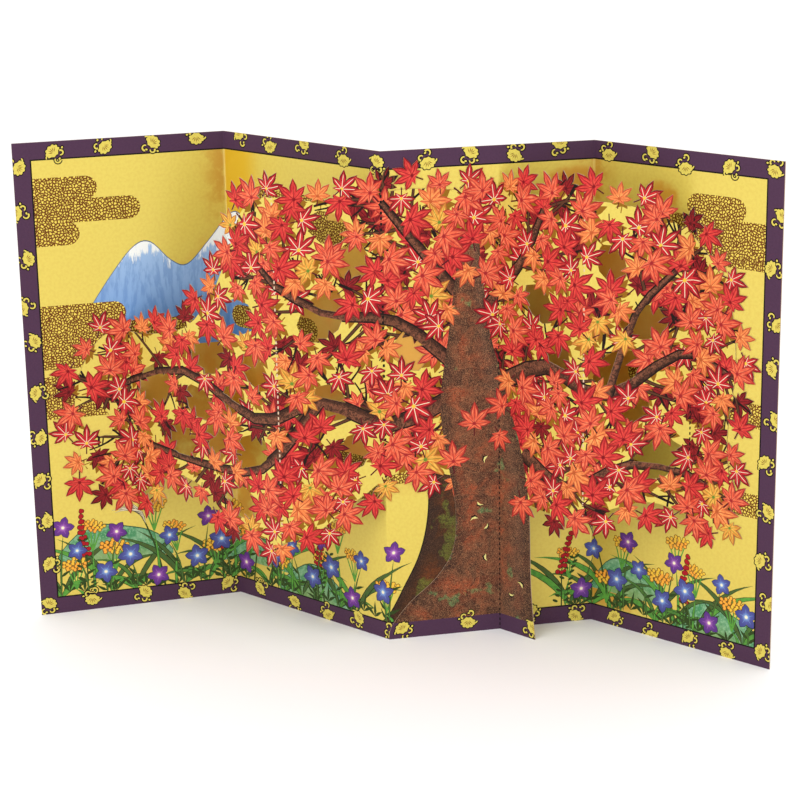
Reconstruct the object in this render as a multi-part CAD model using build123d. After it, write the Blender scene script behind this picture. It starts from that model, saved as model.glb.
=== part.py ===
"""Pop-up greeting card in the form of a standing folding screen.

Two sheets make it. The screen card has four equal panels and stands in a zigzag on its
lower edge. The tree sheet is die-cut into a trunk, limbs and a leaf-edged canopy. It is
glued flat on panel one, panel three and panel four, and between them it folds forward
over the two hollows of the zigzag.

Millimetres. Z is up and the front of the card faces -Y. The origin is at the middle of
the footprint, on the surface that the card stands on.
"""
from build123d import *
import math
import os

# Screen card
panel_width = 75.0
panel_height = 175.0
card_thickness = 0.4
card_bend_radius = 0.3
panel_headings = (16.0, -41.8, 12.2, -41.0)  # degrees from the X axis, left panel first

# Tree sheet: where it is glued, and where it folds
sheet_thickness = 0.3
glue_film = 0.05
left_take_off = 37.5  # from fold one back along panel one, where the sheet leaves the card
left_strip_rear = 75.0  # from there to the sheet's left front fold
right_take_off = 34.0  # from fold three back along panel three
right_landing = 41.0  # from fold three along panel four, where the sheet is glued again
right_strip_rear = 37.5  # from the take-off to the sheet's right front fold

# Canopy
side_margin = 14.0  # from the card's outer edges to the line of the rim leaves
top_margin = 10.8  # from the card's top edge to the line of the rim leaves
canopy_depth = 126.0  # from the highest rim leaf to the lowest
rim_leaf_pitch = 8.6
rim_leaf_scatter = 5.0  # how far the rim leaves stray across the rim line
rim_leaf_sway = 75.0  # degrees that a rim leaf turns away from straight out
web_setback = 2.4  # from the rim line in to the sheet's own edge between leaves
inner_leaf_pitch = 7.6
inner_leaf_scatter = 4.0
leaf_length = 7.0  # from the middle of a leaf to its longest tip
leaf_size_spread = 0.18
window_radius = 8.6
window_pitch_along = 19.5
window_pitch_up = 16.5
window_scatter = 6.0
window_leaf_pitch = 12.0  # between the leaves round a window
window_leaf_setback = 1.4  # from the edge of a window out to the middles of its leaves
window_leaf_room = 3.5  # from the edge of a window out to where other leaves may stand
window_leaf_sway = 40.0  # degrees that such a leaf turns away from straight in
window_clearance = 1.6  # between a window and a fold, the trunk or the rim line
smallest_opening = 4.0  # in square millimetres: the die leaves anything smaller closed

# Trunk and limbs
trunk_foot_width = 57.5
trunk_waist_width = 30.0
trunk_waist_height = 50.0
trunk_top_width = 6.0
trunk_top_height = 146.0
limb_root_width = 5.8
limb_tip_width = 1.4

# The rim line of the canopy, as shares: along is -1 at the left reach and 1 at the right
# reach, up is 0 at the lowest rim leaf and 1 at the highest
RIM = [
    (0.42, 0.07), (0.58, 0.08), (0.74, 0.11), (0.87, 0.06), (0.99, 0.09), (0.98, 0.32),
    (1.00, 0.54), (0.97, 0.73), (0.88, 0.86), (0.75, 0.95), (0.56, 0.99), (0.30, 0.98),
    (0.08, 1.00), (-0.13, 0.98), (-0.29, 1.00), (-0.39, 0.95), (-0.45, 0.82), (-0.52, 0.69),
    (-0.62, 0.59), (-0.77, 0.55), (-0.90, 0.54), (-0.98, 0.42), (-1.00, 0.24),
    (-0.95, 0.08), (-0.81, 0.03), (-0.68, 0.11), (-0.57, 0.10), (-0.42, 0.01),
    (-0.21, 0.01), (-0.06, 0.11), (0.08, 0.17),
]

# The limbs, in the same shares, each with its width at the root as a share
LIMBS = [
    (1.0, [(0.22, 0.42), (0.02, 0.33), (-0.17, 0.41), (-0.36, 0.36), (-0.62, 0.45), (-0.88, 0.36)]),
    (0.7, [(0.17, 0.50), (0.03, 0.62), (-0.16, 0.66), (-0.34, 0.80)]),
    (0.6, [(0.19, 0.69), (0.08, 0.84), (0.00, 0.95)]),
    (0.7, [(0.25, 0.62), (0.38, 0.78), (0.45, 0.93)]),
    (1.0, [(0.30, 0.42), (0.46, 0.50), (0.64, 0.44), (0.82, 0.54), (0.96, 0.50)]),
    (0.8, [(0.38, 0.24), (0.52, 0.17), (0.70, 0.24), (0.90, 0.18)]),
    (0.5, [(0.64, 0.44), (0.71, 0.66), (0.81, 0.77)]),
    (0.6, [(-0.17, 0.41), (-0.34, 0.22), (-0.56, 0.19), (-0.80, 0.21)]),
]

# A leaf has a middle lobe and three on each side, which turn away by equal steps and get
# shorter. The five long lobes are widest at their shoulders, and between two lobes the
# edge comes back to a notch. The stalk is at the back. All are shares of leaf_length.
SIDE_LOBES = 3
LOBE_TURN = 44.0
LOBE_SHORTENING = 0.06
SHORT_LOBE = 0.5
SHOULDER = 0.56
LOBE_HALF_WIDTH = 0.175
NOTCH = 0.38
STALK = 0.7
STALK_HALF_WIDTH = 0.045

# A window is an oval. All are shares: by how much its size differs, its width to its length,
# how far its leaves stray along their ring, and where the first row of windows stands
WINDOW_SPREAD = 0.22
WINDOW_SLIMMEST = 0.62
WINDOW_ROUNDEST = 0.82
RING_STRAY = 0.3
FIRST_WINDOW_ROW = 0.7

# How near to the rim line a leaf takes part in the outline, as a share of leaf_length, and
# how far inside it the other leaves begin, as a share of their pitch
RIM_BAND = 0.8
RIM_ROOM = 0.55
GOLDEN = 0.6180339887
FLUSH = 0.01  # nearer than this counts as touching

NODES = "parts"


def even(count, salt):
    """A number from 0 to 1 for a counted thing, evenly spread and the same in every run."""
    return (count * GOLDEN + salt * 0.377) % 1.0


def heading(angle):
    return (math.cos(math.radians(angle)), math.sin(math.radians(angle)))


def step(point, along, distance):
    return (point[0] + along[0] * distance, point[1] + along[1] * distance)


def toward(start, end):
    length = math.dist(start, end)
    return ((end[0] - start[0]) / length, (end[1] - start[1]) / length)


def forward(along):
    """The side of a path that faces the front of the card."""
    return (along[1], -along[0])


def offset_path(path, distance):
    """The path moved to the front by a distance, with mitred corners."""
    runs = [toward(a, b) for a, b in zip(path, path[1:])]
    moved = [step(path[0], forward(runs[0]), distance)]
    for corner, before, after in zip(path[1:-1], runs, runs[1:]):
        half = (forward(before)[0] + forward(after)[0], forward(before)[1] + forward(after)[1])
        scale = distance * 2.0 / (half[0] ** 2 + half[1] ** 2)
        moved.append((corner[0] + half[0] * scale, corner[1] + half[1] * scale))
    moved.append(step(path[-1], forward(runs[-1]), distance))
    return moved


def screen_path():
    """The front face of the four panels in plan, with fold two at (0, 0)."""
    fold_two = (0.0, 0.0)
    fold_one = step(fold_two, heading(panel_headings[1]), -panel_width)
    left_edge = step(fold_one, heading(panel_headings[0]), -panel_width)
    fold_three = step(fold_two, heading(panel_headings[2]), panel_width)
    right_edge = step(fold_three, heading(panel_headings[3]), panel_width)
    return [left_edge, fold_one, fold_two, fold_three, right_edge]


def front_fold(take_off, landing, rear_length, front_length):
    """Where a strip of two lengths folds in front of a hollow."""
    span = math.dist(take_off, landing)
    reach = (rear_length ** 2 - front_length ** 2 + span ** 2) / (2 * span)
    rise = math.sqrt(max(rear_length ** 2 - reach ** 2, 0.0))
    along = toward(take_off, landing)
    return step(step(take_off, along, reach), forward(along), rise)


def tree_path():
    """The back face of the tree sheet in plan, and how far along the sheet each point is.

    The sheet is measured from fold two, where its trunk starts.
    """
    on_card = offset_path(screen_path(), glue_film)
    left_edge, fold_one, fold_two, fold_three, right_edge = on_card
    left_leave = step(fold_one, toward(fold_one, left_edge), left_take_off)
    right_leave = step(fold_three, toward(fold_three, fold_two), right_take_off)
    right_land = step(fold_three, toward(fold_three, right_edge), right_landing)
    left_strip = left_take_off + math.dist(fold_one, fold_two)
    right_strip = right_take_off + right_landing
    left_front = front_fold(left_leave, fold_two, left_strip_rear, left_strip - left_strip_rear)
    right_front = front_fold(right_leave, right_land, right_strip_rear, right_strip - right_strip_rear)
    points = [left_edge, left_leave, left_front, fold_two, right_leave, right_front, right_land, right_edge]
    along = [0.0]
    for start, end in zip(points, points[1:]):
        along.append(along[-1] + math.dist(start, end))
    start_of_trunk = along[points.index(fold_two)]
    return points, [place - start_of_trunk for place in along]


def curve_span(a, b, c, d, steps):
    """A smooth curve from b up to c, as short chords. Its neighbours on the curve are a and d."""
    span = []
    for j in range(steps):
        t = j / steps
        span.append(tuple(
            0.5 * (2 * b[i] + (c[i] - a[i]) * t + (2 * a[i] - 5 * b[i] + 4 * c[i] - d[i]) * t ** 2
                   + (3 * b[i] - a[i] - 3 * c[i] + d[i]) * t ** 3)
            for i in (0, 1)))
    return span


def smooth_loop(points, steps=6):
    """A closed curve through the points."""
    count = len(points)
    spans = [curve_span(*(points[(k + j - 1) % count] for j in range(4)), steps) for k in range(count)]
    return sum(spans, [])


def smooth_line(points, steps=4):
    """An open curve through the points."""
    padded = points[:1] + points + points[-1:]
    spans = [curve_span(*padded[k:k + 4], steps) for k in range(len(points) - 1)]
    return sum(spans, []) + points[-1:]


def offset_loop(loop, distance):
    """A closed curve that runs anticlockwise, moved outwards by a distance."""
    moved = []
    for before, point, after in zip(loop[-1:] + loop[:-1], loop, loop[1:] + loop[:1]):
        moved.append(step(point, forward(toward(before, after)), distance))
    return moved


def canopy_point(share):
    """A point of the flat sheet from its shares of the canopy."""
    reach = 2 * panel_width - side_margin
    lowest = panel_height - top_margin - canopy_depth
    return (share[0] * reach, lowest + share[1] * canopy_depth)


def rim_loop():
    return smooth_loop([canopy_point(share) for share in RIM])


def inside(point, loop):
    """Whether a point is inside a closed loop."""
    hits = False
    x, y = point
    for (ax, ay), (bx, by) in zip(loop, loop[1:] + loop[:1]):
        if (ay > y) != (by > y) and x < ax + (y - ay) / (by - ay) * (bx - ax):
            hits = not hits
    return hits


def distance_to_line(point, line, closed=False):
    """How far a point is from a line of points."""
    nearest = math.inf
    ends = line[1:] + line[:1] if closed else line[1:]
    for start, end in zip(line, ends):
        length = math.dist(start, end)
        if length == 0:
            continue
        share = ((point[0] - start[0]) * (end[0] - start[0]) + (point[1] - start[1]) * (end[1] - start[1]))
        share = min(max(share / length ** 2, 0.0), 1.0)
        foot = (start[0] + (end[0] - start[0]) * share, start[1] + (end[1] - start[1]) * share)
        nearest = min(nearest, math.dist(point, foot))
    return nearest


def trunk_loop():
    """The trunk: roots that flare to the left, a waist, and a top that tapers."""
    foot = trunk_foot_width
    waist = trunk_waist_width
    up = trunk_waist_height
    rise = trunk_top_height - trunk_waist_height
    waist_right = foot - 0.05 * foot
    waist_left = waist_right - waist
    top_middle = waist_left + 0.2 * waist
    left = [
        (0.0, 0.0), (0.02 * foot, 0.10 * up), (0.14 * foot, 0.27 * up), (0.31 * foot, 0.44 * up),
        (0.42 * foot, 0.66 * up), (waist_left, up), (waist_left - 0.10 * waist, up + 0.18 * rise),
        (waist_left - 0.16 * waist, up + 0.38 * rise), (waist_left - 0.06 * waist, up + 0.62 * rise),
        (top_middle - 0.5 * trunk_top_width, up + rise),
    ]
    right = [
        (top_middle + 0.5 * trunk_top_width, up + rise), (waist_left + 0.44 * waist, up + 0.62 * rise),
        (waist_left + 0.66 * waist, up + 0.40 * rise), (waist_left + 0.88 * waist, up + 0.20 * rise),
        (waist_right, up), (foot - 0.035 * foot, 0.40 * up), (foot, 0.0),
    ]
    return smooth_line(left) + smooth_line(right)


def limb_loop(root_share, shares):
    """A limb that tapers along its line of points."""
    line = [canopy_point(share) for share in shares]
    runs = [toward(a, b) for a, b in zip(line, line[1:])]
    near, far = [], []
    for k, point in enumerate(line):
        before, after = runs[max(k - 1, 0)], runs[min(k, len(runs) - 1)]
        across = forward(toward((0, 0), (before[0] + after[0], before[1] + after[1])))
        share = k / (len(line) - 1)
        half = 0.5 * (limb_root_width * root_share * (1 - share) + limb_tip_width * share)
        near.append(step(point, across, half))
        far.append(step(point, across, -half))
    return near + far[::-1]


def window_loops(folds):
    """The openings in the canopy, in staggered rows, as their middles and outlines."""
    rim = rim_loop()
    trunk = trunk_loop()
    windows = []
    rows = int(canopy_depth / window_pitch_up)
    columns = int(2 * panel_width / window_pitch_along) + 1
    for row in range(rows):
        height = panel_height - top_margin - (row + FIRST_WINDOW_ROW) * window_pitch_up
        for column in range(-columns, columns + 1):
            count = 40 * row + column + columns
            middle = ((column + 0.5 * (row % 2)) * window_pitch_along + window_scatter * (even(count, 1) - 0.5),
                      height + window_scatter * (even(count, 2) - 0.5))
            size = window_radius * (1 + WINDOW_SPREAD * (2 * even(count, 3) - 1))
            room = size + window_clearance
            clear = (inside(middle, rim) and distance_to_line(middle, rim, True) > room
                     and not inside(middle, trunk) and distance_to_line(middle, trunk, True) > room
                     and all(abs(middle[0] - fold) > room for fold in folds))
            if clear:
                lean = math.pi * even(count, 4)
                width = size * (WINDOW_SLIMMEST + (WINDOW_ROUNDEST - WINDOW_SLIMMEST) * even(count, 5))
                windows.append((middle, size, oval(middle, size, width, lean)))
    return windows


def oval(middle, long_half, short_half, lean, corners=8):
    points = []
    for k in range(corners):
        turn = 2 * math.pi * k / corners
        x, y = long_half * math.cos(turn), short_half * math.sin(turn)
        points.append((middle[0] + x * math.cos(lean) - y * math.sin(lean),
                       middle[1] + x * math.sin(lean) + y * math.cos(lean)))
    return points


def leaf_loop(middle, turn, size):
    """A seven-lobed leaf, as the shoulders and tip of each lobe and the notches."""
    def at(angle, ahead, aside=0.0):
        bearing = math.radians(turn + angle)
        return (middle[0] + size * (ahead * math.sin(bearing) + aside * math.cos(bearing)),
                middle[1] + size * (ahead * math.cos(bearing) - aside * math.sin(bearing)))

    points = []
    for lobe in range(-SIDE_LOBES, SIDE_LOBES + 1):
        angle = lobe * LOBE_TURN
        length = 1 - LOBE_SHORTENING * lobe ** 2
        fullness = 0.4 + 0.6 * length
        shoulders = [at(angle, SHOULDER * length, side * LOBE_HALF_WIDTH * fullness) for side in (-1, 1)]
        tip = at(angle, length)
        points += [tip] if length < SHORT_LOBE else [shoulders[0], tip, shoulders[1]]
        if lobe < SIDE_LOBES:
            points.append(at(angle + LOBE_TURN / 2, NOTCH * fullness))
    root = NOTCH * SHORT_LOBE
    return points + [at(180, root, -STALK_HALF_WIDTH), at(180, STALK, -STALK_HALF_WIDTH),
                     at(180, STALK, STALK_HALF_WIDTH), at(180, root, STALK_HALF_WIDTH)]


def leaf_size(chance):
    return leaf_length * (1 + leaf_size_spread * (2 * chance - 1))


def window_leaf_places(windows):
    """The leaves round each window, which point into it."""
    places = []
    for middle, size, _ in windows:
        around = round(2 * math.pi * size / window_leaf_pitch)
        for k in range(around):
            count = len(places)
            bearing = 360 * (k + RING_STRAY * even(count, 13)) / around
            out = heading(90 - bearing)
            at = step(middle, out, size + window_leaf_setback)
            turn = bearing + 180 + window_leaf_sway * (2 * even(count, 14) - 1)
            places.append((at, turn, leaf_size(even(count, 15))))
    return places


def leaf_places(windows):
    """The middle, turn and size of each leaf: a row on the rim line, rings round the windows, the rest between."""
    rim = rim_loop()
    places = []
    walked = 0.0
    for start, end in zip(rim, rim[1:] + rim[:1]):
        walked += math.dist(start, end)
        if walked >= rim_leaf_pitch:
            walked -= rim_leaf_pitch
            count = len(places)
            out = forward(toward(start, end))
            straight_out = math.degrees(math.atan2(out[0], out[1]))
            turn = straight_out + rim_leaf_sway * (2 * even(count, 7) - 1)
            at = step(end, out, rim_leaf_scatter * (even(count, 12) - 0.5))
            places.append((at, turn, leaf_size(even(count, 6))))
    places += window_leaf_places(windows)
    rise = inner_leaf_pitch * math.sqrt(0.75)
    rows = int(canopy_depth / rise)
    columns = int(2 * panel_width / inner_leaf_pitch)
    for row in range(rows):
        height = panel_height - top_margin - (row + 1) * rise
        for column in range(-columns, columns + 1):
            count = 100 * row + column + columns
            middle = ((column + 0.5 * (row % 2)) * inner_leaf_pitch + inner_leaf_scatter * (even(count, 8) - 0.5),
                      height + inner_leaf_scatter * (even(count, 9) - 0.5))
            if not inside(middle, rim) or distance_to_line(middle, rim, True) < RIM_ROOM * inner_leaf_pitch:
                continue
            if any(math.dist(middle, window[0]) < window[1] + window_leaf_room for window in windows):
                continue
            places.append((middle, 360 * even(count, 11), leaf_size(even(count, 10))))
    return places


def signed_area(loop):
    return sum(ax * by - bx * ay for (ax, ay), (bx, by) in zip(loop, loop[1:] + loop[:1])) / 2


def face(loop):
    """A flat face that looks up, whichever way its outline runs."""
    points = loop if signed_area(loop) > 0 else loop[::-1]
    return Face(Wire.make_polygon([Vector(x, y) for x, y in points], close=True))


def sheet_regions(start, end, windows):
    """The cut outline of the tree sheet between two places along it, as flat faces."""
    strip = face([(start, 0), (end, 0), (end, panel_height), (start, panel_height)])

    def reaches(loop):
        return max(x for x, _ in loop) > start and min(x for x, _ in loop) < end

    open_loops = [loop for _, _, loop in windows if reaches(loop)]
    web = face(offset_loop(rim_loop(), -web_setback)) & strip
    for loop in open_loops:
        web = web - face(loop)
    rim = rim_loop()
    added = [trunk_loop()] + [limb_loop(share, line) for share, line in LIMBS]
    for middle, turn, size in leaf_places(windows):
        on_rim = distance_to_line(middle, rim, True) < RIM_BAND * leaf_length
        by_window = any(math.dist(middle, window[0]) < window[1] + size for window in windows)
        if on_rim or by_window:
            added.append(leaf_loop(middle, turn, size))
    pieces = [face(loop) & strip for loop in added if reaches(loop)]
    faces = []
    for piece in [web] + pieces:
        faces.extend(piece.faces() if piece is not None else [])
    joined = faces[0].fuse(*faces[1:]).clean()
    largest = max(part.area for part in joined.faces())
    regions = []
    for part in joined.faces():
        # A small face with no part beyond a fold would be loose
        box = part.bounding_box()
        crosses_fold = box.min.X < start + FLUSH or box.max.X > end - FLUSH
        if part.area == largest or crosses_fold:
            openings = [wire for wire in part.inner_wires() if Face(wire).area > smallest_opening]
            regions.append(Face(part.outer_wire(), openings))
    return regions


def screen_card():
    front = screen_path()
    back = offset_path(front, -card_thickness)
    outline = face(front + back[::-1])
    for k in range(1, len(front) - 1):
        turn_left = panel_headings[k] > panel_headings[k - 1]
        inner, outer = (back[k], front[k]) if turn_left else (front[k], back[k])
        outline = round_corner(outline, inner, card_bend_radius)
        outline = round_corner(outline, outer, card_bend_radius + card_thickness)
    return extrude(outline, panel_height, (0, 0, 1))


def round_corner(outline, corner, radius):
    vertex = outline.vertices().sort_by_distance(Vector(*corner))[0]
    return outline.fillet_2d(radius, [vertex])


def tree_sheet():
    back, along = tree_path()
    front = offset_path(back, sheet_thickness)
    windows = window_loops(along[1:-1])
    spans = []
    for k in range(len(back) - 1):
        run = toward(back[k], back[k + 1])
        # A strip's front face may be longer than its back face, by the mitre at each fold
        spare = sheet_thickness
        lay = Plane(origin=(*back[k], 0), x_dir=(*run, 0), z_dir=(*forward(run), 0))
        strip = extrude(face([back[k], back[k + 1], front[k + 1], front[k]]), panel_height, (0, 0, 1))
        for flat in sheet_regions(along[k] - spare, along[k + 1] + spare, windows):
            laid = lay.from_local_coords(flat.translate(Vector(-along[k], 0, 0)))
            spans.append(extrude(laid, sheet_thickness, lay.z_dir) & strip)
    return spans[0].fuse(*spans[1:])


def footprint_middle():
    """The middle of the plan, which is the origin of the finished card."""
    front = screen_path()
    back, _ = tree_path()
    points = front + offset_path(front, -card_thickness) + offset_path(back, sheet_thickness)[1:-1]
    xs = [x for x, _ in points]
    ys = [y for _, y in points]
    return ((min(xs) + max(xs)) / 2, (min(ys) + max(ys)) / 2)


if __name__ == "__main__":
    os.makedirs(NODES, exist_ok=True)
    middle = footprint_middle()
    for name, make in (("folding_screen", screen_card), ("tree_sheet", tree_sheet)):
        solid = make().moved(Location((-middle[0], -middle[1], 0)))
        export_step(solid, f"{NODES}/{name}.step")
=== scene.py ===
"""Looks of a pop-up greeting card in the form of a standing folding screen.

Two printed sheets make the card: the screen card, which stands in a zigzag, and the tree
sheet, which is die-cut and folds forward over the hollows of the zigzag. Each is drawn
flat, in millimetres, as outlines that lie on each other in the order of printing. The
flat drawing is then cut into triangles, folded and given its thickness.
"""
import math
from collections import namedtuple
from types import SimpleNamespace

import bpy
import numpy as np
from mathutils import Euler, Matrix, Vector
from mathutils.geometry import delaunay_2d_cdt


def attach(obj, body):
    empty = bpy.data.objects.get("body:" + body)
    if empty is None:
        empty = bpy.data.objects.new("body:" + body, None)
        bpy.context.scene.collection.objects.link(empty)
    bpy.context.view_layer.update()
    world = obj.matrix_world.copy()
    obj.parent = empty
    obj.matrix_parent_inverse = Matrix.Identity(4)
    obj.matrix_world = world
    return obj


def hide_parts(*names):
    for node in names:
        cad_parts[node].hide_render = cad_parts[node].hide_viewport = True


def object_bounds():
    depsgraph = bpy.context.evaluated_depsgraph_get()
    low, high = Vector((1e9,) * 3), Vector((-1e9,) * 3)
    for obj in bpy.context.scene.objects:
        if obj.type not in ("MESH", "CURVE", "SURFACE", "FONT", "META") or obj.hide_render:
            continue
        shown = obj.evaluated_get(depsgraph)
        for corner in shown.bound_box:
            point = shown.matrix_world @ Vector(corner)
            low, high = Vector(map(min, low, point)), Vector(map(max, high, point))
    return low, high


bl_info = {
    "name": "Folding screen card",
    "version": (1, 0, 0),
    "blender": (4, 5, 0),
    "location": "View3D > Sidebar > Card",
    "description": "A standing folding-screen card with a die-cut maple in front",
    "category": "Add Mesh",
}

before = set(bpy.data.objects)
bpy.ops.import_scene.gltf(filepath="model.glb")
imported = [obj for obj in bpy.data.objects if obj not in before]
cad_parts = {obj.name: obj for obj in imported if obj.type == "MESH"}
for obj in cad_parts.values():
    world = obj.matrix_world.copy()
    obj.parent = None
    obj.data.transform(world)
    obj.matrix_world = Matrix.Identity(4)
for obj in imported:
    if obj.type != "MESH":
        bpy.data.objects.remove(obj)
CAD_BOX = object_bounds()

BODY = "root"
MM = 0.001
FLOOR_REACH = 6.0  # m, from the middle to each side
SENSOR_WIDTH = 36.0  # mm
KEY_SIDE = 1.0  # m, of the square light
KEY_PLACE = (-0.8, -1.0, 1.3)
FILL_SIDE = 1.2
FILL_PLACE = (1.1, -0.9, 0.8)
GOLDEN = 0.6180339887
SALT_STEP = 0.377
FLAT_MAP = "flat"
OWN_MAP = "own"
TONE_MAP = "tone"
MERGE_DISTANCE = 1e-4  # mm, between points of the drawing that count as one
STRAIGHT = 1e-3  # mm, by which a point may lie beside a line that is still straight
BEND_STEP = math.radians(12.0)  # turn of one facet of a rounded fold
FOLD_OVERRUN = 1.0  # mm, by which a fold line runs past the sheet in the flat drawing

# The rim line of the canopy, as shares: along is -1 at the left reach and 1 at the right
# reach, up is 0 at the lowest rim leaf and 1 at the highest
RIM = [
    (0.42, 0.07), (0.58, 0.08), (0.74, 0.11), (0.87, 0.06), (0.99, 0.09), (0.98, 0.32),
    (1.00, 0.54), (0.97, 0.73), (0.88, 0.86), (0.75, 0.95), (0.56, 0.99), (0.30, 0.98),
    (0.08, 1.00), (-0.13, 0.98), (-0.29, 1.00), (-0.39, 0.95), (-0.45, 0.82), (-0.52, 0.69),
    (-0.62, 0.59), (-0.77, 0.55), (-0.90, 0.54), (-0.98, 0.42), (-1.00, 0.24),
    (-0.95, 0.08), (-0.81, 0.03), (-0.68, 0.11), (-0.57, 0.10), (-0.42, 0.01),
    (-0.21, 0.01), (-0.06, 0.11), (0.08, 0.17),
]

# The limbs, in the same shares, each with its width at the root as a share
LIMBS = [
    (1.0, [(0.22, 0.42), (0.02, 0.33), (-0.17, 0.41), (-0.36, 0.36), (-0.62, 0.45), (-0.88, 0.36)]),
    (0.7, [(0.17, 0.50), (0.03, 0.62), (-0.16, 0.66), (-0.34, 0.80)]),
    (0.6, [(0.19, 0.69), (0.08, 0.84), (0.00, 0.95)]),
    (0.7, [(0.25, 0.62), (0.38, 0.78), (0.45, 0.93)]),
    (1.0, [(0.30, 0.42), (0.46, 0.50), (0.64, 0.44), (0.82, 0.54), (0.96, 0.50)]),
    (0.8, [(0.38, 0.24), (0.52, 0.17), (0.70, 0.24), (0.90, 0.18)]),
    (0.5, [(0.64, 0.44), (0.71, 0.66), (0.81, 0.77)]),
    (0.6, [(-0.17, 0.41), (-0.34, 0.22), (-0.56, 0.19), (-0.80, 0.21)]),
]

# A leaf of length 1: the middle lobe and three on each side, as the die cuts them, with a finer stalk
SIDE_LOBES = 3
LOBE_TURN = 44.0
LOBE_SHORTENING = 0.06
SHORT_LOBE = 0.5
LOBE_HALF_WIDTH = 0.175
LEAST_FULLNESS = 0.4
LOBE_EDGE = [(0.46, 0.99), (0.60, 1.0), (0.73, 0.78), (0.75, 0.67), (0.89, 0.33)]
NOTCH = 0.38
STALK = 0.56
STALK_HALF_WIDTH = 0.030
INNER_LEAF_SHARE = 1.1  # size of the leaves inside the canopy, as printed, to those of its edges

# As the die cuts them, all as shares: by how much a window's size differs, its width to its length,
# how far its leaves stray along their ring, where the first row stands, and the room inside the rim
WINDOW_SPREAD = 0.22
WINDOW_SLIMMEST = 0.62
WINDOW_ROUNDEST = 0.82
RING_STRAY = 0.3
FIRST_WINDOW_ROW = 0.7
RIM_ROOM = 0.55
PALE_FOLDS = (1, 4)  # the tree sheet's folds that point to the front, counted from the left

# Kinds of leaf: their share of all leaves, and the colours of their veins, edges, lights and hearts
KINDS = {
    "crimson": (0.20, "f6ecc8", "5c0a13", "d83a36", "e8c038"),
    "red": (0.23, "7c0e18", "7c0d16", "e65542", "7c1018"),
    "coral": (0.29, "941c26", "961a20", "f4875e", "9a2426"),
    "orange": (0.13, "a83a22", "b0422a", "f8a860", "b4562a"),
    "amber": (0.04, "7f7a2c", "a85c26", "f2c45a", "66852f"),
    "maroon": (0.11, "3c060c", "380609", "98282a", "540c10"),
}

MAROON = list(KINDS).index("maroon")

# How the leaves lie over and under the wood, as shares of the leaves at that place
OVER_TRUNK_SHARE = 0.16
UNDER_LIMB_SHARE = 0.62
TRUNK_COVER = 0.86  # of the trunk's height, below which most leaves lie behind it
LIMB_ROOM = 3.4  # mm, from a limb's middle to the leaves that it may cover
SHADE_SHARE = 0.6  # of the leaves that have a painted drop shadow
SHADE_WAY = (0.6, -0.8)  # the way of the painted drop shadow, to the right and down, away from the key light
FILLER_STEP = 0.45  # of the filler room, between two tries
FILLER_SETBACK = 0.9  # of a leaf's length, from an opening to a filler leaf
TRUNK_SLICE = 3.0  # mm, height of one slice of the trunk
TWIG_WIDTH = 1.5  # mm
TWIG_RANGE = (13, 15)  # mm, the shortest twig on a limb's side and how much longer it may be
END_TWIG_RANGE = (17, 8)
TWIG_TURNS = (0.65, 0.5)  # in radians, away from the limb

# Forks of a twig: the corner it leaves from, its width, its turn, its share of the reach, its bend
SIDE_FORKS = [(4, 0.9, 0.8, 0.45, -0.4), (6, 0.8, -0.7, 0.30, 0.4)]
END_FORKS = [(4, 0.9, -0.7, 0.5, 0.4), (3, 0.9, 0.7, 0.5, -0.4)]

FOOT_BLOSSOM_ENDS = (0.1, 0.93)  # of the trunk's foot, between which its blossoms stand
FOOT_BLOSSOM_RISE = 0.45  # of the border's width
LEAST_SLICE = 0.1  # mm, below which two slices of the trunk become one

# Bands of mist on the screen as their left end, right end and height, in millimetres
MIST_HALF = 4.2
MIST = [
    (-160, -121, 158), (-160, -106, 150), (-160, -128, 142), (-160, -113, 112), (-160, -88, 104.5),
    (-160, -101, 97), (-160, -122, 86), (-160, -110, 78.5), (-66, -24, 152), (-52, -10, 144.5),
    (-74, -31, 108), (-62, -12, 100.5), (-40, 12, 62), (-58, -4, 54.5), (22, 60, 150), (113, 136, 157),
    (102, 160, 149.5), (118, 160, 142), (90, 126, 96), (104, 160, 88.5), (62, 98, 60), (124, 160, 57),
]
HILLS = [
    (-136, 100), (-127, 113), (-117, 127), (-109, 136), (-103, 137), (-96, 130), (-90, 128),
    (-82, 136), (-74, 145), (-68, 146), (-60, 138), (-51, 124), (-42, 112), (-34, 104),
]
HILLS_FOOT = 98.0

# Mounds at the foot of the screen as their middle, half width, foot and rise, in millimetres
MOUNDS = [(-122, 22, 20, 13), (-64, 18, 15, 10), (-36, 18, 8, 11), (92, 17, 14, 13), (129, 20, 5, 13)]
MOUND_SKIRT = 1.5  # how far a mound's ground reaches below its foot

# A border blossom of size 1: its curls as start, bearing, bend and length, and its dots
BLOSSOM_CURLS = [((0.40, -0.62), 2.6, -3.9, 1.25), ((-0.42, -0.55), -1.9, -3.6, 1.35),
                 ((-1.30, 0.20), 0.2, 2.3, 0.8)]
BLOSSOM_DOTS = [(0.0, -0.95), (1.30, -0.10)]
BLOSSOM_OUTLINE = 0.15
FAN_CORNERS = 48
BLOSSOM_SWAY = 0.9  # how far a blossom turns on the border, in radians
BLOSSOM_SEED = 7

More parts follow.
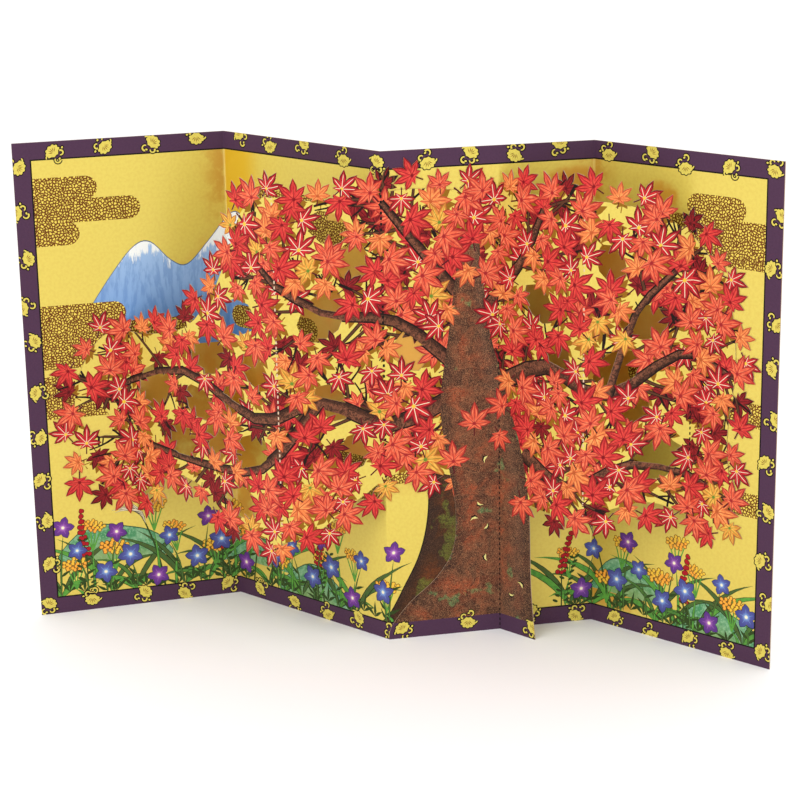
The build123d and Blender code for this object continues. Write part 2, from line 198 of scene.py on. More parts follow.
# Plants at the foot of the screen in millimetres. A range is the least size and how much more
CLUSTER_HEIGHTS = (15.0, 38.0)
STAR_HEIGHTS = (10.5, 35.0)
SPIKE_FEET = (16.0, 24.0)
SPIKE_LENGTH = 17.0
SPIKE_LEAF_DROP = 11.0
BERRY_ROWS = 8
BLADES = 4  # of one tuft
BLADE_RANGE = (12, 28)
PLUME_RANGE = (30, 6)
HAIRS = 9  # of one plume
HAIR_RANGE = (9, 4)
SPRIG_RANGE = (4, 4)
FLORETS = 24  # of one flower cluster
FLORET_TURN = 2.4
BLUE_SHARE = 0.58  # of the star flowers, the others are violet
BRIGHT_GREEN = 0.1  # tones of stems, from 0 to 1
DULL_GREEN = 0.6
TRUNK_PLACE = (3.0, 62.0)  # from where to where along the sheets the trunk stands

# The trunk printed on the screen beside the cut one, up its left side
BACK_TRUNK = [(-4, 5), (1, 10), (6.5, 20), (11.5, 30), (14.5, 41), (15.5, 53), (14.5, 68), (13, 84)]
BACK_TRUNK_WIDTH = 26

# Painted reflections of leaves in the foil, as the middle along and up, half the width and half the height:
# first behind the whole canopy, then in smaller patches
CANOPY_REFLECTION = (10.0, 106.0, 118.0, 52.0)
REFLECTION_PATCHES = [
    (68.0, 162.0, 11.0, 5.0), (102.0, 158.0, 9.0, 7.0), (86.0, 14.0, 15.0, 9.0), (-68.0, 20.0, 14.0, 8.0),
    (-71.0, 64.0, 10.0, 46.0), (-97.0, 77.0, 24.0, 22.0), (-84.0, 56.0, 12.0, 14.0),
]

# Fallen flecks on the trunk as shares of its height and of its width at that height
FLECKS = [
    (0.10, 0.80), (0.13, 0.88), (0.19, 0.42), (0.27, 0.36), (0.29, 0.22), (0.33, 0.30), (0.35, 0.80),
    (0.44, 0.46), (0.56, 0.62),
]

# Inks of one hue that need no setting of their own; among them the ochre of the painted drop shadows under
# the leaves
PLAIN_INKS = {
    "twig_print": "1f130f", "branch_print": "5e3824", "shade_print": "966616", "ochre_print": "7c4a18",
    "dash_print": "e2c4a6", "fleck_print": "efe28c",
}
INK_SHADE = 0.76  # brightness of an ink where it is printed thickest
FIBRE_SHADE = 0.93  # brightness of bare board between its fibres
DULL = 0.12  # specular level of printed ink


def length(name, description, default):
    """A size that a user may change."""
    return bpy.props.FloatProperty(
        name=name, description=description, default=default, unit="LENGTH", precision=5)


def angle(name, description, degrees):
    """A turn that a user may change."""
    return bpy.props.FloatProperty(
        name=name, description=description, default=math.radians(degrees), unit="ROTATION")


def amount(name, description, default, unit="NONE"):
    """A share, a power or another number that a user may change."""
    return bpy.props.FloatProperty(name=name, description=description, default=default, unit=unit)


def linear(code):
    """The linear colour of a hex code such as c4202c."""
    parts = [int(code[k:k + 2], 16) / 255 for k in (0, 2, 4)]
    return tuple(x / 12.92 if x <= 0.04045 else ((x + 0.055) / 1.055) ** 2.4 for x in parts)


def colour(name, description, code):
    """A printing colour that a user may change."""
    return bpy.props.FloatVectorProperty(
        name=name, description=description, default=linear(code), subtype="COLOR", min=0.0, max=1.0)


class ScreenSizes(bpy.types.PropertyGroup):
    """Sizes of the screen card."""
    panel_width: length("Panel width", "Each of the four panels", 0.075)
    panel_height: length("Panel height", "From the standing edge up", 0.175)
    card_thickness: length("Card thickness", "The board of the screen", 0.0004)
    bend_radius: length("Bend radius", "Inside a fold of the screen", 0.0003)
    panel_headings: bpy.props.FloatVectorProperty(
        name="Panel headings", description="How each panel runs in plan, from the left", size=4,
        default=tuple(math.radians(x) for x in (16.0, -41.8, 12.2, -41.0)), unit="ROTATION")
    side_border: length("Side border", "Width of the dark border at the sides", 0.0060)
    long_border: length("Long border", "Width of the dark border above and below", 0.0060)
    border_line: length("Border line", "Black line inside the border", 0.0005)
    blossom_size: length("Blossom size", "Half the width of a border blossom", 0.0026)
    blossom_pitch: length("Blossom pitch", "Between blossoms along the border", 0.0168)
    blossom_stray: length("Blossom stray", "How far the blossoms stray", 0.0020)
    star_size: length("Star size", "Half the width of a star flower", 0.0041)
    star_pitch: length("Star pitch", "Between star flowers along the foot", 0.0068)
    cluster_size: length("Cluster size", "Half the width of a flower cluster", 0.0052)
    cluster_pitch: length("Cluster pitch", "Between clusters along the foot", 0.0104)
    spike_pitch: length("Spike pitch", "Between berry spikes along the foot", 0.034)
    berry_size: length("Berry size", "Half the width of a berry", 0.0007)
    blade_pitch: length("Blade pitch", "Between tufts of grass along the foot", 0.0125)
    blade_width: length("Blade width", "Widest part of a grass blade", 0.0021)
    plume_pitch: length("Plume pitch", "Between grass plumes along the foot", 0.052)
    sprig_pitch: length("Sprig pitch", "Between the dark sprigs at the ground", 0.0080)
    ink_line: length("Ink line", "Dark line round the printed plants", 0.00028)


class TreeSizes(bpy.types.PropertyGroup):
    """Sizes of the tree sheet."""
    sheet_thickness: length("Sheet thickness", "The board of the tree sheet", 0.0003)
    bend_radius: length("Bend radius", "Inside a fold of the tree sheet", 0.00015)
    glue_film: length("Glue film", "Between the two sheets", 0.00005)
    left_take_off: length("Left take-off", "From the left fold back to where the sheet lifts", 0.0375)
    left_strip_rear: length("Left strip", "From there to its front fold", 0.075)
    right_take_off: length("Right take-off", "From the right fold back to where the sheet lifts", 0.034)
    right_landing: length("Right landing", "From the right fold on to where it is glued again", 0.041)
    right_strip_rear: length("Right strip", "From the take-off to its front fold", 0.0375)
    side_margin: length("Side margin", "From the card's edges to the rim leaves", 0.014)
    top_margin: length("Top margin", "From the card's top to the rim leaves", 0.0108)
    canopy_depth: length("Canopy depth", "From the highest rim leaf to the lowest", 0.126)
    web_setback: length("Web setback", "From the rim line in to the sheet's own edge", 0.0024)
    rim_leaf_pitch: length("Rim leaf pitch", "Between leaves along the rim", 0.0086)
    rim_leaf_scatter: length("Rim leaf scatter", "How far they stray across the rim", 0.005)
    inner_leaf_pitch: length("Inner leaf pitch", "Between leaves inside the rim", 0.0076)
    inner_leaf_scatter: length("Inner leaf scatter", "How far they stray", 0.004)
    filler_room: length("Filler room", "From one leaf to a leaf that fills a gap", 0.0052)
    # The drop from a leaf to its painted drop shadow
    leaf_shadow_drop: length("Shade drop", "From a leaf to its printed shade", 0.0019)
    leaf_length: length("Leaf length", "From the middle of a leaf to its longest tip", 0.007)
    window_radius: length("Window radius", "Middle size of the openings", 0.0086)
    window_pitch_along: length("Window pitch along", "Between openings in a row", 0.0195)
    window_pitch_up: length("Window pitch up", "Between rows of openings", 0.0165)
    window_scatter: length("Window scatter", "How far the openings stray", 0.006)
    window_leaf_pitch: length("Window leaf pitch", "Between leaves round an opening", 0.012)
    window_leaf_setback: length("Window leaf setback", "From an opening out to its leaves", 0.0014)
    window_leaf_room: length("Window leaf room", "From an opening out to the other leaves", 0.0035)
    window_clearance: length("Window clearance", "From an opening to a fold or edge", 0.0016)
    trunk_foot_width: length("Trunk foot width", "At the standing edge", 0.0575)
    trunk_waist_width: length("Trunk waist width", "Above the roots", 0.030)
    trunk_waist_height: length("Trunk waist height", "Where the waist is", 0.050)
    trunk_top_width: length("Trunk top width", "At the trunk's top", 0.006)
    trunk_top_height: length("Trunk top height", "Where the trunk ends", 0.146)
    limb_root_width: length("Limb root width", "A limb at the trunk", 0.0058)
    limb_tip_width: length("Limb tip width", "A limb at its end", 0.0014)
    limb_outline: length("Limb outline", "Dark line round a limb", 0.00055)
    dash_pitch: length("Dash pitch", "Between dashes on a fold line", 0.0019)
    dash_length: length("Dash length", "One dash on a fold line", 0.0010)
    pale_dash_width: length("Pale dash width", "On a fold that points to the front", 0.0002)
    dark_dash_width: length("Dark dash width", "On a fold that points back", 0.0008)
    rim_leaf_sway: angle("Rim leaf sway", "How far a rim leaf turns from straight out", 75.0)
    window_leaf_sway: angle("Window leaf sway", "How far a leaf at an opening turns from straight in", 40.0)
    leaf_size_spread: amount("Leaf size spread", "Share by which the leaves differ", 0.18)
    smallest_opening: amount("Smallest opening", "Square millimetres, below which none is cut", 4.0)


class InkColours(bpy.types.PropertyGroup):
    """Printing colours."""
    foil: colour("Foil", "Gold foil ground", "dcc657")
    border: colour("Border", "Border purple", "50344c")
    outline: colour("Outline", "Line ink", "15100e")
    blossom: colour("Blossom", "Border blossoms", "e2cf5e")
    crimson: colour("Crimson", "Crimson leaves", "ba1c28")
    red: colour("Red", "Red leaves", "d03034")
    coral: colour("Coral", "Coral leaves", "e2553a")
    orange: colour("Orange", "Orange leaves", "e87c42")
    amber: colour("Amber", "Amber leaves", "e3993c")
    maroon: colour("Maroon", "Dark leaves", "841519")
    bark: colour("Bark", "Trunk", "76452e")
    mist: colour("Mist", "Ground of the mist bands", "6a3d12")
    hill: colour("Hill", "Far hills", "5f8cc6")
    mound: colour("Mound", "Mounds at the foot", "78a67e")
    green: colour("Green", "Blades and stems", "5c9c3c")
    sprig: colour("Sprig", "Dark leaves and sprigs at the ground", "34481f")
    star: colour("Star", "Blue star flowers", "585fa0")
    violet: colour("Violet", "Violet star flowers", "74398c")
    cluster: colour("Cluster", "Flower clusters", "f0a43a")
    berry: colour("Berry", "Berries", "b01c24")
    plume: colour("Plume", "Grass plumes", "e6d8b4")
    paper: colour("Paper", "Back of the board", "e9e4d8")
    cut: colour("Cut", "Cut edges of the board", "b89c82")


class StageSizes(bpy.types.PropertyGroup):
    """The camera and the light."""
    camera_place: bpy.props.FloatVectorProperty(
        name="Camera place", description="Where the camera stands", size=3,
        default=(0.00437, -0.73904, 0.29655), subtype="TRANSLATION")
    camera_pitch: angle("Camera pitch", "How far it looks down", 15.9)
    camera_roll: angle("Camera roll", "Turn about its own line of sight", -0.99)
    camera_lens: amount("Lens", "Focal length on a 36 mm frame", 99.06, "CAMERA")
    key_power: amount("Key light", "Power of the main light", 8.2, "POWER")
    fill_power: amount("Fill light", "Power of the light on the other side", 3.0, "POWER")
    air_light: amount("Air light", "Light of the room", 1.1)


def in_millimetres(group):
    """The lengths of a property group in millimetres, and its other values as they are."""
    sizes = SimpleNamespace()
    for key, prop in group.bl_rna.properties.items():
        if key not in ("rna_type", "name"):
            value = getattr(group, key)
            setattr(sizes, key, value / MM if prop.unit == "LENGTH" else value)
    return sizes


# Flat geometry

def even(count, salt):
    """A number from 0 to 1 for a counted thing, evenly spread and the same in every run."""
    return (count * GOLDEN + salt * SALT_STEP) % 1.0


def ranged(least, more, count, salt):
    """A size for a counted thing, from the least one to that and more."""
    return least + more * even(count, salt)


def heading(angle):
    return (math.cos(angle), math.sin(angle))


def step(point, along, distance):
    return (point[0] + along[0] * distance, point[1] + along[1] * distance)


def toward(start, end):
    reach = math.dist(start, end)
    return ((end[0] - start[0]) / reach, (end[1] - start[1]) / reach)


def forward(along):
    """The side of a path that faces the front of the card."""
    return (along[1], -along[0])


def offset_path(path, distance):
    """The path moved to the front by a distance, with mitred corners."""
    runs = [toward(a, b) for a, b in zip(path, path[1:])]
    moved = [step(path[0], forward(runs[0]), distance)]
    for corner, before, after in zip(path[1:-1], runs, runs[1:]):
        half = (forward(before)[0] + forward(after)[0], forward(before)[1] + forward(after)[1])
        scale = distance * 2.0 / (half[0] ** 2 + half[1] ** 2)
        moved.append((corner[0] + half[0] * scale, corner[1] + half[1] * scale))
    moved.append(step(path[-1], forward(runs[-1]), distance))
    return moved


def signed_area(loop):
    return sum(ax * by - bx * ay for (ax, ay), (bx, by) in zip(loop, loop[1:] + loop[:1])) / 2


def anticlockwise(loop):
    return loop if signed_area(loop) > 0 else loop[::-1]


def curve_span(a, b, c, d, steps):
    """A smooth curve from b up to c, as short chords. Its neighbours on the curve are a and d."""
    span = []
    for j in range(steps):
        t = j / steps
        span.append(tuple(
            0.5 * (2 * b[i] + (c[i] - a[i]) * t + (2 * a[i] - 5 * b[i] + 4 * c[i] - d[i]) * t ** 2
                   + (3 * b[i] - a[i] - 3 * c[i] + d[i]) * t ** 3)
            for i in (0, 1)))
    return span


def smooth_loop(points, steps=6):
    """A closed curve through the points."""
    count = len(points)
    spans = [curve_span(*(points[(k + j - 1) % count] for j in range(4)), steps) for k in range(count)]
    return sum(spans, [])


def smooth_line(points, steps=4):
    """An open curve through the points."""
    padded = points[:1] + points + points[-1:]
    spans = [curve_span(*padded[k:k + 4], steps) for k in range(len(points) - 1)]
    return sum(spans, []) + points[-1:]


def offset_loop(loop, distance):
    """A closed curve that runs anticlockwise, moved outwards by a distance."""
    moved = []
    for before, point, after in zip(loop[-1:] + loop[:-1], loop, loop[1:] + loop[:1]):
        moved.append(step(point, forward(toward(before, after)), distance))
    return moved


def inside(point, loop):
    """Whether a point is inside a closed loop."""
    hits = False
    x, y = point
    for (ax, ay), (bx, by) in zip(loop, loop[1:] + loop[:1]):
        if (ay > y) != (by > y) and x < ax + (y - ay) / (by - ay) * (bx - ax):
            hits = not hits
    return hits


def distance_to_line(point, line, closed=False):
    """How far a point is from a line of points."""
    nearest = math.inf
    ends = line[1:] + line[:1] if closed else line[1:]
    for start, end in zip(line, ends):
        reach = math.dist(start, end)
        if reach == 0:
            continue
        share = (point[0] - start[0]) * (end[0] - start[0]) + (point[1] - start[1]) * (end[1] - start[1])
        share = min(max(share / reach ** 2, 0.0), 1.0)
        foot = (start[0] + (end[0] - start[0]) * share, start[1] + (end[1] - start[1]) * share)
        nearest = min(nearest, math.dist(point, foot))
    return nearest


def rectangle(left, low, right, high):
    return [(left, low), (right, low), (right, high), (left, high)]


def oval(middle, long_half, short_half, lean, corners):
    points = []
    for k in range(corners):
        turn = 2 * math.pi * k / corners
        x, y = long_half * math.cos(turn), short_half * math.sin(turn)
        points.append((middle[0] + x * math.cos(lean) - y * math.sin(lean),
                       middle[1] + x * math.sin(lean) + y * math.cos(lean)))
    return points


def stadium(left, right, height, half):
    """A level bar with round ends."""
    loop = []
    for middle, first in ((right - half, -90), (left + half, 90)):
        for k in range(9):
            turn = math.radians(first + 22.5 * k)
            loop.append((middle + half * math.cos(turn), height + half * math.sin(turn)))
    return loop


def bent_line(start, bearing, reach, bend, steps=6):
    """A line that leaves at a bearing, counted from straight up, and bends by an even amount."""
    line = [start]
    for k in range(steps):
        at = bearing + bend * (k + 0.5) / steps
        line.append(step(line[-1], (math.sin(at), math.cos(at)), reach / steps))
    return line


def stroke_sides(line, width):
    """The two edges of a brush stroke along a line. The width is a function of the share along."""
    runs = [toward(a, b) for a, b in zip(line, line[1:])]
    near, far = [], []
    for k, point in enumerate(line):
        before, after = runs[max(k - 1, 0)], runs[min(k, len(runs) - 1)]
        across = forward(toward((0, 0), (before[0] + after[0], before[1] + after[1])))
        half = 0.5 * width(k / (len(line) - 1))
        near.append(step(point, across, half))
        far.append(step(point, across, -half))
    return near, far


def taper(root_width, tip_width):
    """A width that changes evenly from root to tip, as a function of the share along."""
    return lambda share: root_width * (1 - share) + tip_width * share


def stroke(line, root_width, tip_width):
    """A stroke that tapers evenly."""
    near, far = stroke_sides(line, taper(root_width, tip_width))
    return anticlockwise(near + far[::-1])


def blade(line, width):
    """A grass blade: widest at a third of its length and pointed at both ends."""
    near, far = stroke_sides(line, lambda share: width * (math.sin(math.pi * share ** 0.62) + 0.02))
    return anticlockwise(near + far[::-1])


# The two sheets in plan

def screen_path(screen):
    """The front face of the four panels in plan, with fold two at (0, 0)."""
    runs = [heading(turn) for turn in screen.panel_headings]
    fold_two = (0.0, 0.0)
    fold_one = step(fold_two, runs[1], -screen.panel_width)
    left_edge = step(fold_one, runs[0], -screen.panel_width)
    fold_three = step(fold_two, runs[2], screen.panel_width)
    right_edge = step(fold_three, runs[3], screen.panel_width)
    return [left_edge, fold_one, fold_two, fold_three, right_edge]


def front_fold(take_off, landing, rear_length, front_length):
    """Where a strip of two lengths folds in front of a hollow."""
    span = math.dist(take_off, landing)
    reach = (rear_length ** 2 - front_length ** 2 + span ** 2) / (2 * span)
    rise = math.sqrt(max(rear_length ** 2 - reach ** 2, 0.0))
    along = toward(take_off, landing)
    return step(step(take_off, along, reach), forward(along), rise)


def tree_path(screen, tree):
    """The back face of the tree sheet in plan."""
    on_card = offset_path(screen_path(screen), tree.glue_film)
    left_edge, fold_one, fold_two, fold_three, right_edge = on_card
    left_leave = step(fold_one, toward(fold_one, left_edge), tree.left_take_off)
    right_leave = step(fold_three, toward(fold_three, fold_two), tree.right_take_off)
    right_land = step(fold_three, toward(fold_three, right_edge), tree.right_landing)
    left_strip = tree.left_take_off + math.dist(fold_one, fold_two)
    right_strip = tree.right_take_off + tree.right_landing
    left_front = front_fold(left_leave, fold_two, tree.left_strip_rear, left_strip - tree.left_strip_rear)
    right_front = front_fold(
        right_leave, right_land, tree.right_strip_rear, right_strip - tree.right_strip_rear)
    return [left_edge, left_leave, left_front, fold_two, right_leave, right_front, right_land, right_edge]


def footprint_middle(screen, tree):
    """The middle of the plan, which is the origin of the finished card."""
    front = screen_path(screen)
    points = front + offset_path(front, -screen.card_thickness)
    points += offset_path(tree_path(screen, tree), tree.sheet_thickness)[1:-1]
    xs = [x for x, _ in points]
    ys = [y for _, y in points]
    return ((min(xs) + max(xs)) / 2, (min(ys) + max(ys)) / 2)


class FoldedPath:
    """A sheet in plan: places along the flat sheet and how deep in it become places in the room."""

    def __init__(self, corners, start, behind, ahead, bend_radius, middle):
        """The corners lie at depth 0. The board reaches from -behind to ahead."""
        self.behind = behind
        self.ahead = ahead
        self.middle = middle
        self.folds = []
        runs = [toward(a, b) for a, b in zip(corners, corners[1:])]
        along = start
        stations = [(along, *corners[0], *forward(runs[0]))]
        for k in range(1, len(corners) - 1):
            along += math.dist(corners[k - 1], corners[k])
            self.folds.append(along)
            before = math.atan2(runs[k - 1][1], runs[k - 1][0])
            turn = math.atan2(runs[k][1], runs[k][0]) - before
            radius = bend_radius + (behind if turn > 0 else ahead)
            back_off = radius * math.tan(abs(turn) / 2)
            entry = step(corners[k], runs[k - 1], -back_off)
            side = 1 if turn > 0 else -1
            centre = step(entry, forward(runs[k - 1]), -side * radius)
            facets = max(2, math.ceil(abs(turn) / BEND_STEP))
            for j in range(facets + 1):
                out = forward(heading(before + turn * j / facets))
                stations.append((along - back_off + 2 * back_off * j / facets,
                                 *step(centre, out, side * radius), *out))
        along += math.dist(corners[-2], corners[-1])
        stations.append((along, *corners[-1], *forward(runs[-1])))
        self.stations = np.array(stations)

    def place(self, points, depth):
        """Points of the flat sheet, at a depth in the board, as places in the room in metres."""
        at = self.stations[:, 0]
        x, y, out_x, out_y = (np.interp(points[:, 0], at, self.stations[:, k]) for k in range(1, 5))
        room = np.stack([x + out_x * depth - self.middle[0],
                         y + out_y * depth - self.middle[1], points[:, 1]], axis=1)
        return room * MM


# Repeats, laid out by geometry nodes

class Value:
    """An output of a node. Arithmetic on it adds Math nodes to the same tree."""

    def __init__(self, nodes, socket):
        self.nodes = nodes
        self.socket = socket

    def math(self, operation, *others):
        return self.nodes.math(operation, self, *others)

    def __add__(self, other):
        return self.math("ADD", other)

    def __sub__(self, other):
        return self.math("SUBTRACT", other)

    def __rsub__(self, other):
        return self.nodes.math("SUBTRACT", other, self)

    def __mul__(self, other):
        return self.math("MULTIPLY", other)

    def __truediv__(self, other):
        return self.math("DIVIDE", other)

    def __rtruediv__(self, other):
        return self.nodes.math("DIVIDE", other, self)

    def __abs__(self):
        return self.math("ABSOLUTE")

    __radd__ = __add__
    __rmul__ = __mul__


class Nodes:
    """The nodes of one tree, of a finish or of a repeat."""

    def __init__(self, tree):
        self.tree = tree

    def node(self, kind, settings=None, inputs=None, output=0):
        """Adds a node: its settings first, then what its sockets hold or are linked to."""
        made = self.tree.nodes.new(kind)
        for key, value in (settings or {}).items():
            if key == "stops":
                self.set_stops(made.color_ramp, value)
            else:
                setattr(made, key, value)
        for key, value in (inputs or {}).items():
            socket = made.inputs[key]
            if isinstance(value, Value):
                self.tree.links.new(value.socket, socket)
            elif isinstance(value, (tuple, list)) and socket.type == "RGBA" and len(value) == 3:
                socket.default_value = (*value, 1.0)
            else:
                socket.default_value = value
        return Value(self, made.outputs[output]) if made.outputs else made

    def math(self, operation, *values):
        return self.node("ShaderNodeMath", {"operation": operation}, dict(enumerate(values)))

    def set_stops(self, ramp, stops):
        """Gives a ramp plain steps, each from its place up to the next."""
        ramp.interpolation = "CONSTANT"
        while len(ramp.elements) < len(stops):
            ramp.elements.new(1.0)
        for element, (place, tint) in zip(ramp.elements, stops):
            element.position = place
            element.color = (*tint, 1.0)


def strayed_points(nodes, asked):
    """Points evenly along a path, moved a little at random, and the turn of the copy on each."""
    curve = nodes.node("GeometryNodeMeshToCurve", {}, {"Mesh": asked["Geometry"]})
    points = nodes.node("GeometryNodeResampleCurve", {"mode": "LENGTH"},
                        {"Curve": curve, "Length": asked["Pitch"]})
    count = nodes.node("GeometryNodeInputIndex")
    stray = nodes.node("FunctionNodeRandomValue", {"data_type": "FLOAT_VECTOR"},
                       {"Min": (-1, -1, 0), "Max": (1, 1, 0), "ID": count, "Seed": asked["Seed"]})
    moved = nodes.node("ShaderNodeVectorMath", {"operation": "SCALE"}, {0: stray, "Scale": asked["Stray"]})
    points = nodes.node("GeometryNodeSetPosition", {}, {"Geometry": points, "Offset": moved})
    split = nodes.node("ShaderNodeSeparateXYZ", {}, {0: nodes.node("GeometryNodeInputTangent")}).socket.node
    run = Value(nodes, split.outputs["Y"]).math("ARCTAN2", Value(nodes, split.outputs["X"]))
    chance = nodes.node("FunctionNodeRandomValue", {"data_type": "FLOAT"},
                        {2: -1.0, 3: 1.0, "ID": count, "Seed": asked["Seed"]}, output=1)
    return points, run + count.math("MODULO", 2.0) * math.pi + chance * asked["Sway"]


def repeat_tree(name, along_path):
    """A geometry tree that sets copies of a stamp on points, or evenly along a path."""
    tree = bpy.data.node_groups.new(name, "GeometryNodeTree")
    tree.is_modifier = True
    inputs = {"Geometry": "Geometry", "Stamp": "Object", "Size": "Float", "Ink": "Material"}
    if along_path:
        inputs |= {"Pitch": "Float", "Stray": "Float", "Sway": "Float", "Seed": "Int"}
    for key, kind in inputs.items():
        tree.interface.new_socket(key, in_out="INPUT", socket_type="NodeSocket" + kind)
    tree.interface.new_socket("Geometry", in_out="OUTPUT", socket_type="NodeSocketGeometry")
    nodes = Nodes(tree)
    start = nodes.node("NodeGroupInput").socket.node
    asked = {socket.name: Value(nodes, socket) for socket in start.outputs if socket.name}
    size = asked["Size"]
    if along_path:
        points, turn = strayed_points(nodes, asked)
    else:
        points = asked["Geometry"]
        turn, scale = (nodes.node("GeometryNodeInputNamedAttribute", {"data_type": "FLOAT"}, {"Name": key})
                       for key in ("turn", "size"))
        turn, size = turn * -1.0, size * scale
    stamp = nodes.node("GeometryNodeObjectInfo", {}, {"Object": asked["Stamp"]}, output="Geometry")
    turned = nodes.node("ShaderNodeCombineXYZ", {}, {"Z": turn})
    scaled = nodes.node("ShaderNodeCombineXYZ", {}, {"X": size, "Y": size, "Z": size})
    copies = nodes.node("GeometryNodeInstanceOnPoints", {},
                        {"Points": points, "Instance": stamp, "Rotation": turned, "Scale": scaled})
    real = nodes.node("GeometryNodeRealizeInstances", {}, {"Geometry": copies})
    inked = nodes.node("GeometryNodeSetMaterial", {}, {"Geometry": real, "Material": asked["Ink"]})
    end = tree.nodes.new("NodeGroupOutput")
    tree.links.new(inked.socket, end.inputs[0])
    return tree


def flat_mesh(name, points, edges=(), faces=()):
    """A mesh of flat points at height 0."""
    mesh = bpy.data.meshes.new(name)
    mesh.from_pydata([(x, y, 0.0) for x, y in points], edges, faces)
    return mesh


def placed(name, data):
    """An object with this data, in the scene and at the origin."""
    ob = bpy.data.objects.new(name, data)
    bpy.context.scene.collection.objects.link(ob)
    return ob


def drawn_repeat(tree, carrier, stamp, inputs):
    """The outlines that a geometry tree lays out over the carrier mesh, as flat loops."""
    starts = np.cumsum([0] + [len(loop) for loop in stamp])
    faces = [list(range(a, b)) for a, b in zip(starts, starts[1:])]
    stamp_object = placed("stamp", flat_mesh("stamp", sum(stamp, []), faces=faces))
    carrier_object = placed("carrier", carrier)
    modifier = carrier_object.modifiers.new("repeat", "NODES")
    modifier.node_group = tree
    sockets = {item.name: item.identifier for item in tree.interface.items_tree
               if item.in_out == "INPUT"}
    for key, value in {"Stamp": stamp_object, **inputs}.items():
        modifier[sockets[key]] = value
    graph = bpy.context.evaluated_depsgraph_get()
    plain = bpy.data.meshes.new_from_object(carrier_object.evaluated_get(graph))
    loops = [[tuple(plain.vertices[k].co[:2]) for k in face.vertices] for face in plain.polygons]
    for ob in (stamp_object, carrier_object):
        bpy.data.objects.remove(ob)
    bpy.data.meshes.remove(plain)
    return loops


def path_mesh(line, closed=False):
    """A mesh of edges along a line of flat points."""
    edges = [(k, k + 1) for k in range(len(line) - 1)]
    if closed:
        edges.append((len(line) - 1, 0))
    return flat_mesh("path", line, edges)


def stamped(tree, shape, places):
    """The loops of a shape at each place, which is a middle, a turn and a size."""
    mesh = flat_mesh("places", [middle for middle, _, _ in places])
    for key, k in (("turn", 1), ("size", 2)):
        layer = mesh.attributes.new(key, "FLOAT", "POINT")
        layer.data.foreach_set("value", [place[k] for place in places])
    return drawn_repeat(tree, mesh, shape, {"Size": 1.0})


# The flat drawing

def flat_frame(points):
    return points


def stamp_frame(middle, turn, size):
    """A shape's own coordinates, in which it is upright and of size 1."""
    def own(points):
        x, y = points[:, 0] - middle[0], points[:, 1] - middle[1]
        c, s = math.cos(turn), math.sin(turn)
        return np.stack([x * c - y * s, x * s + y * c], axis=1) / size
    return own


def band_frame(left, right):
    """Across from -1 at the left line to 1 at the right one, and up. Both lines run upwards."""
    left, right = np.array(left), np.array(right)

    def own(points):
        low = np.interp(points[:, 1], left[:, 1], left[:, 0])
        high = np.interp(points[:, 1], right[:, 1], right[:, 0])
        return np.stack([2 * (points[:, 0] - low) / (high - low) - 1, points[:, 1]], axis=1)
    return own


def line_frame(line, root_width, tip_width):
    """Across a stroke from -1 to 1, and along it."""
    ends = np.array(line)
    starts, runs = ends[:-1], np.diff(ends, axis=0)
    reach = np.hypot(*runs.T)
    before = np.concatenate([[0.0], np.cumsum(reach)[:-1]])

    def own(points):
        offset = points[:, None, :] - starts
        share = np.clip((offset * runs).sum(2) / reach ** 2, 0, 1)
        gap = offset - share[:, :, None] * runs
        nearest = np.hypot(gap[..., 0], gap[..., 1]).argmin(1)
        rows = np.arange(len(points))
        side = (offset[..., 0] * runs[:, 1] - offset[..., 1] * runs[:, 0])[rows, nearest] / reach[nearest]
        along = before[nearest] + share[rows, nearest] * reach[nearest]
        half = 0.5 * taper(root_width, tip_width)(along / reach.sum())
        return np.stack([np.clip(side / half, -1, 1), along], axis=1)
    return own


Outline = namedtuple("Outline", "loop ink own tone cuts opens")


class Drawing:
    """The outlines of one flat sheet in the order of printing."""

    def __init__(self):
        self.outlines = []

    def lay(self, loop, ink, own=flat_frame, tone=(0.5, 0.5), cuts=False, opens=False):
        """Adds an outline. One that cuts is board wherever it lies, and one that opens is none."""
        self.outlines.append(Outline(anticlockwise(list(loop)), ink, own, tone, cuts, opens))

    def lay_all(self, loops, ink, **how):
        for loop in loops:
            self.lay(loop, ink, **how)

    def triangles(self, fold_lines, low, high, smallest_opening):
        """The flat points, the triangles of the board, the outline on top of each, and the plain back."""
        points, faces, edges = [], [], []
        for outline in self.outlines:
            faces.append(list(range(len(points), len(points) + len(outline.loop))))
            points += outline.loop
        for line in fold_lines:
            edges.append((len(points), len(points) + 1))
            points += [(line, low), (line, high)]
        found = delaunay_2d_cdt([Vector(point) for point in points], edges, faces, 0, MERGE_DISTANCE, True)
        flat = np.array([tuple(point) for point in found[0]])
        triangles = np.array(found[2])
        board = np.zeros(len(triangles), bool)
        top = np.zeros(len(triangles), int)
        for k, covers in enumerate(found[5]):
            shown = [c for c in covers if not self.outlines[c].opens]
            top[k] = max(shown, default=0)
            on_sheet = 0 in covers and len(shown) == len(covers)
            board[k] = on_sheet or any(self.outlines[c].cuts for c in covers)
        board = close_small(flat, triangles, board, smallest_opening)
        flat, triangles, top = regrouped(flat, triangles[board], top[board], fold_lines)
        rim = {k for edge in rim_edges(triangles) for k in edge}
        _, back, _ = regrouped(flat, triangles, np.zeros(len(triangles), int), fold_lines, rim)
        return flat, triangles, top, back


def sides(corners):
    """The three directed edges of a triangle."""
    return [(corners[k], corners[k - 2]) for k in range(3)]


def rim_edges(triangles):
    """The edges that only one triangle has, in that triangle's direction."""
    edges = {edge for corners in triangles.tolist() for edge in sides(corners)}
    return sorted((a, b) for a, b in edges if (b, a) not in edges)


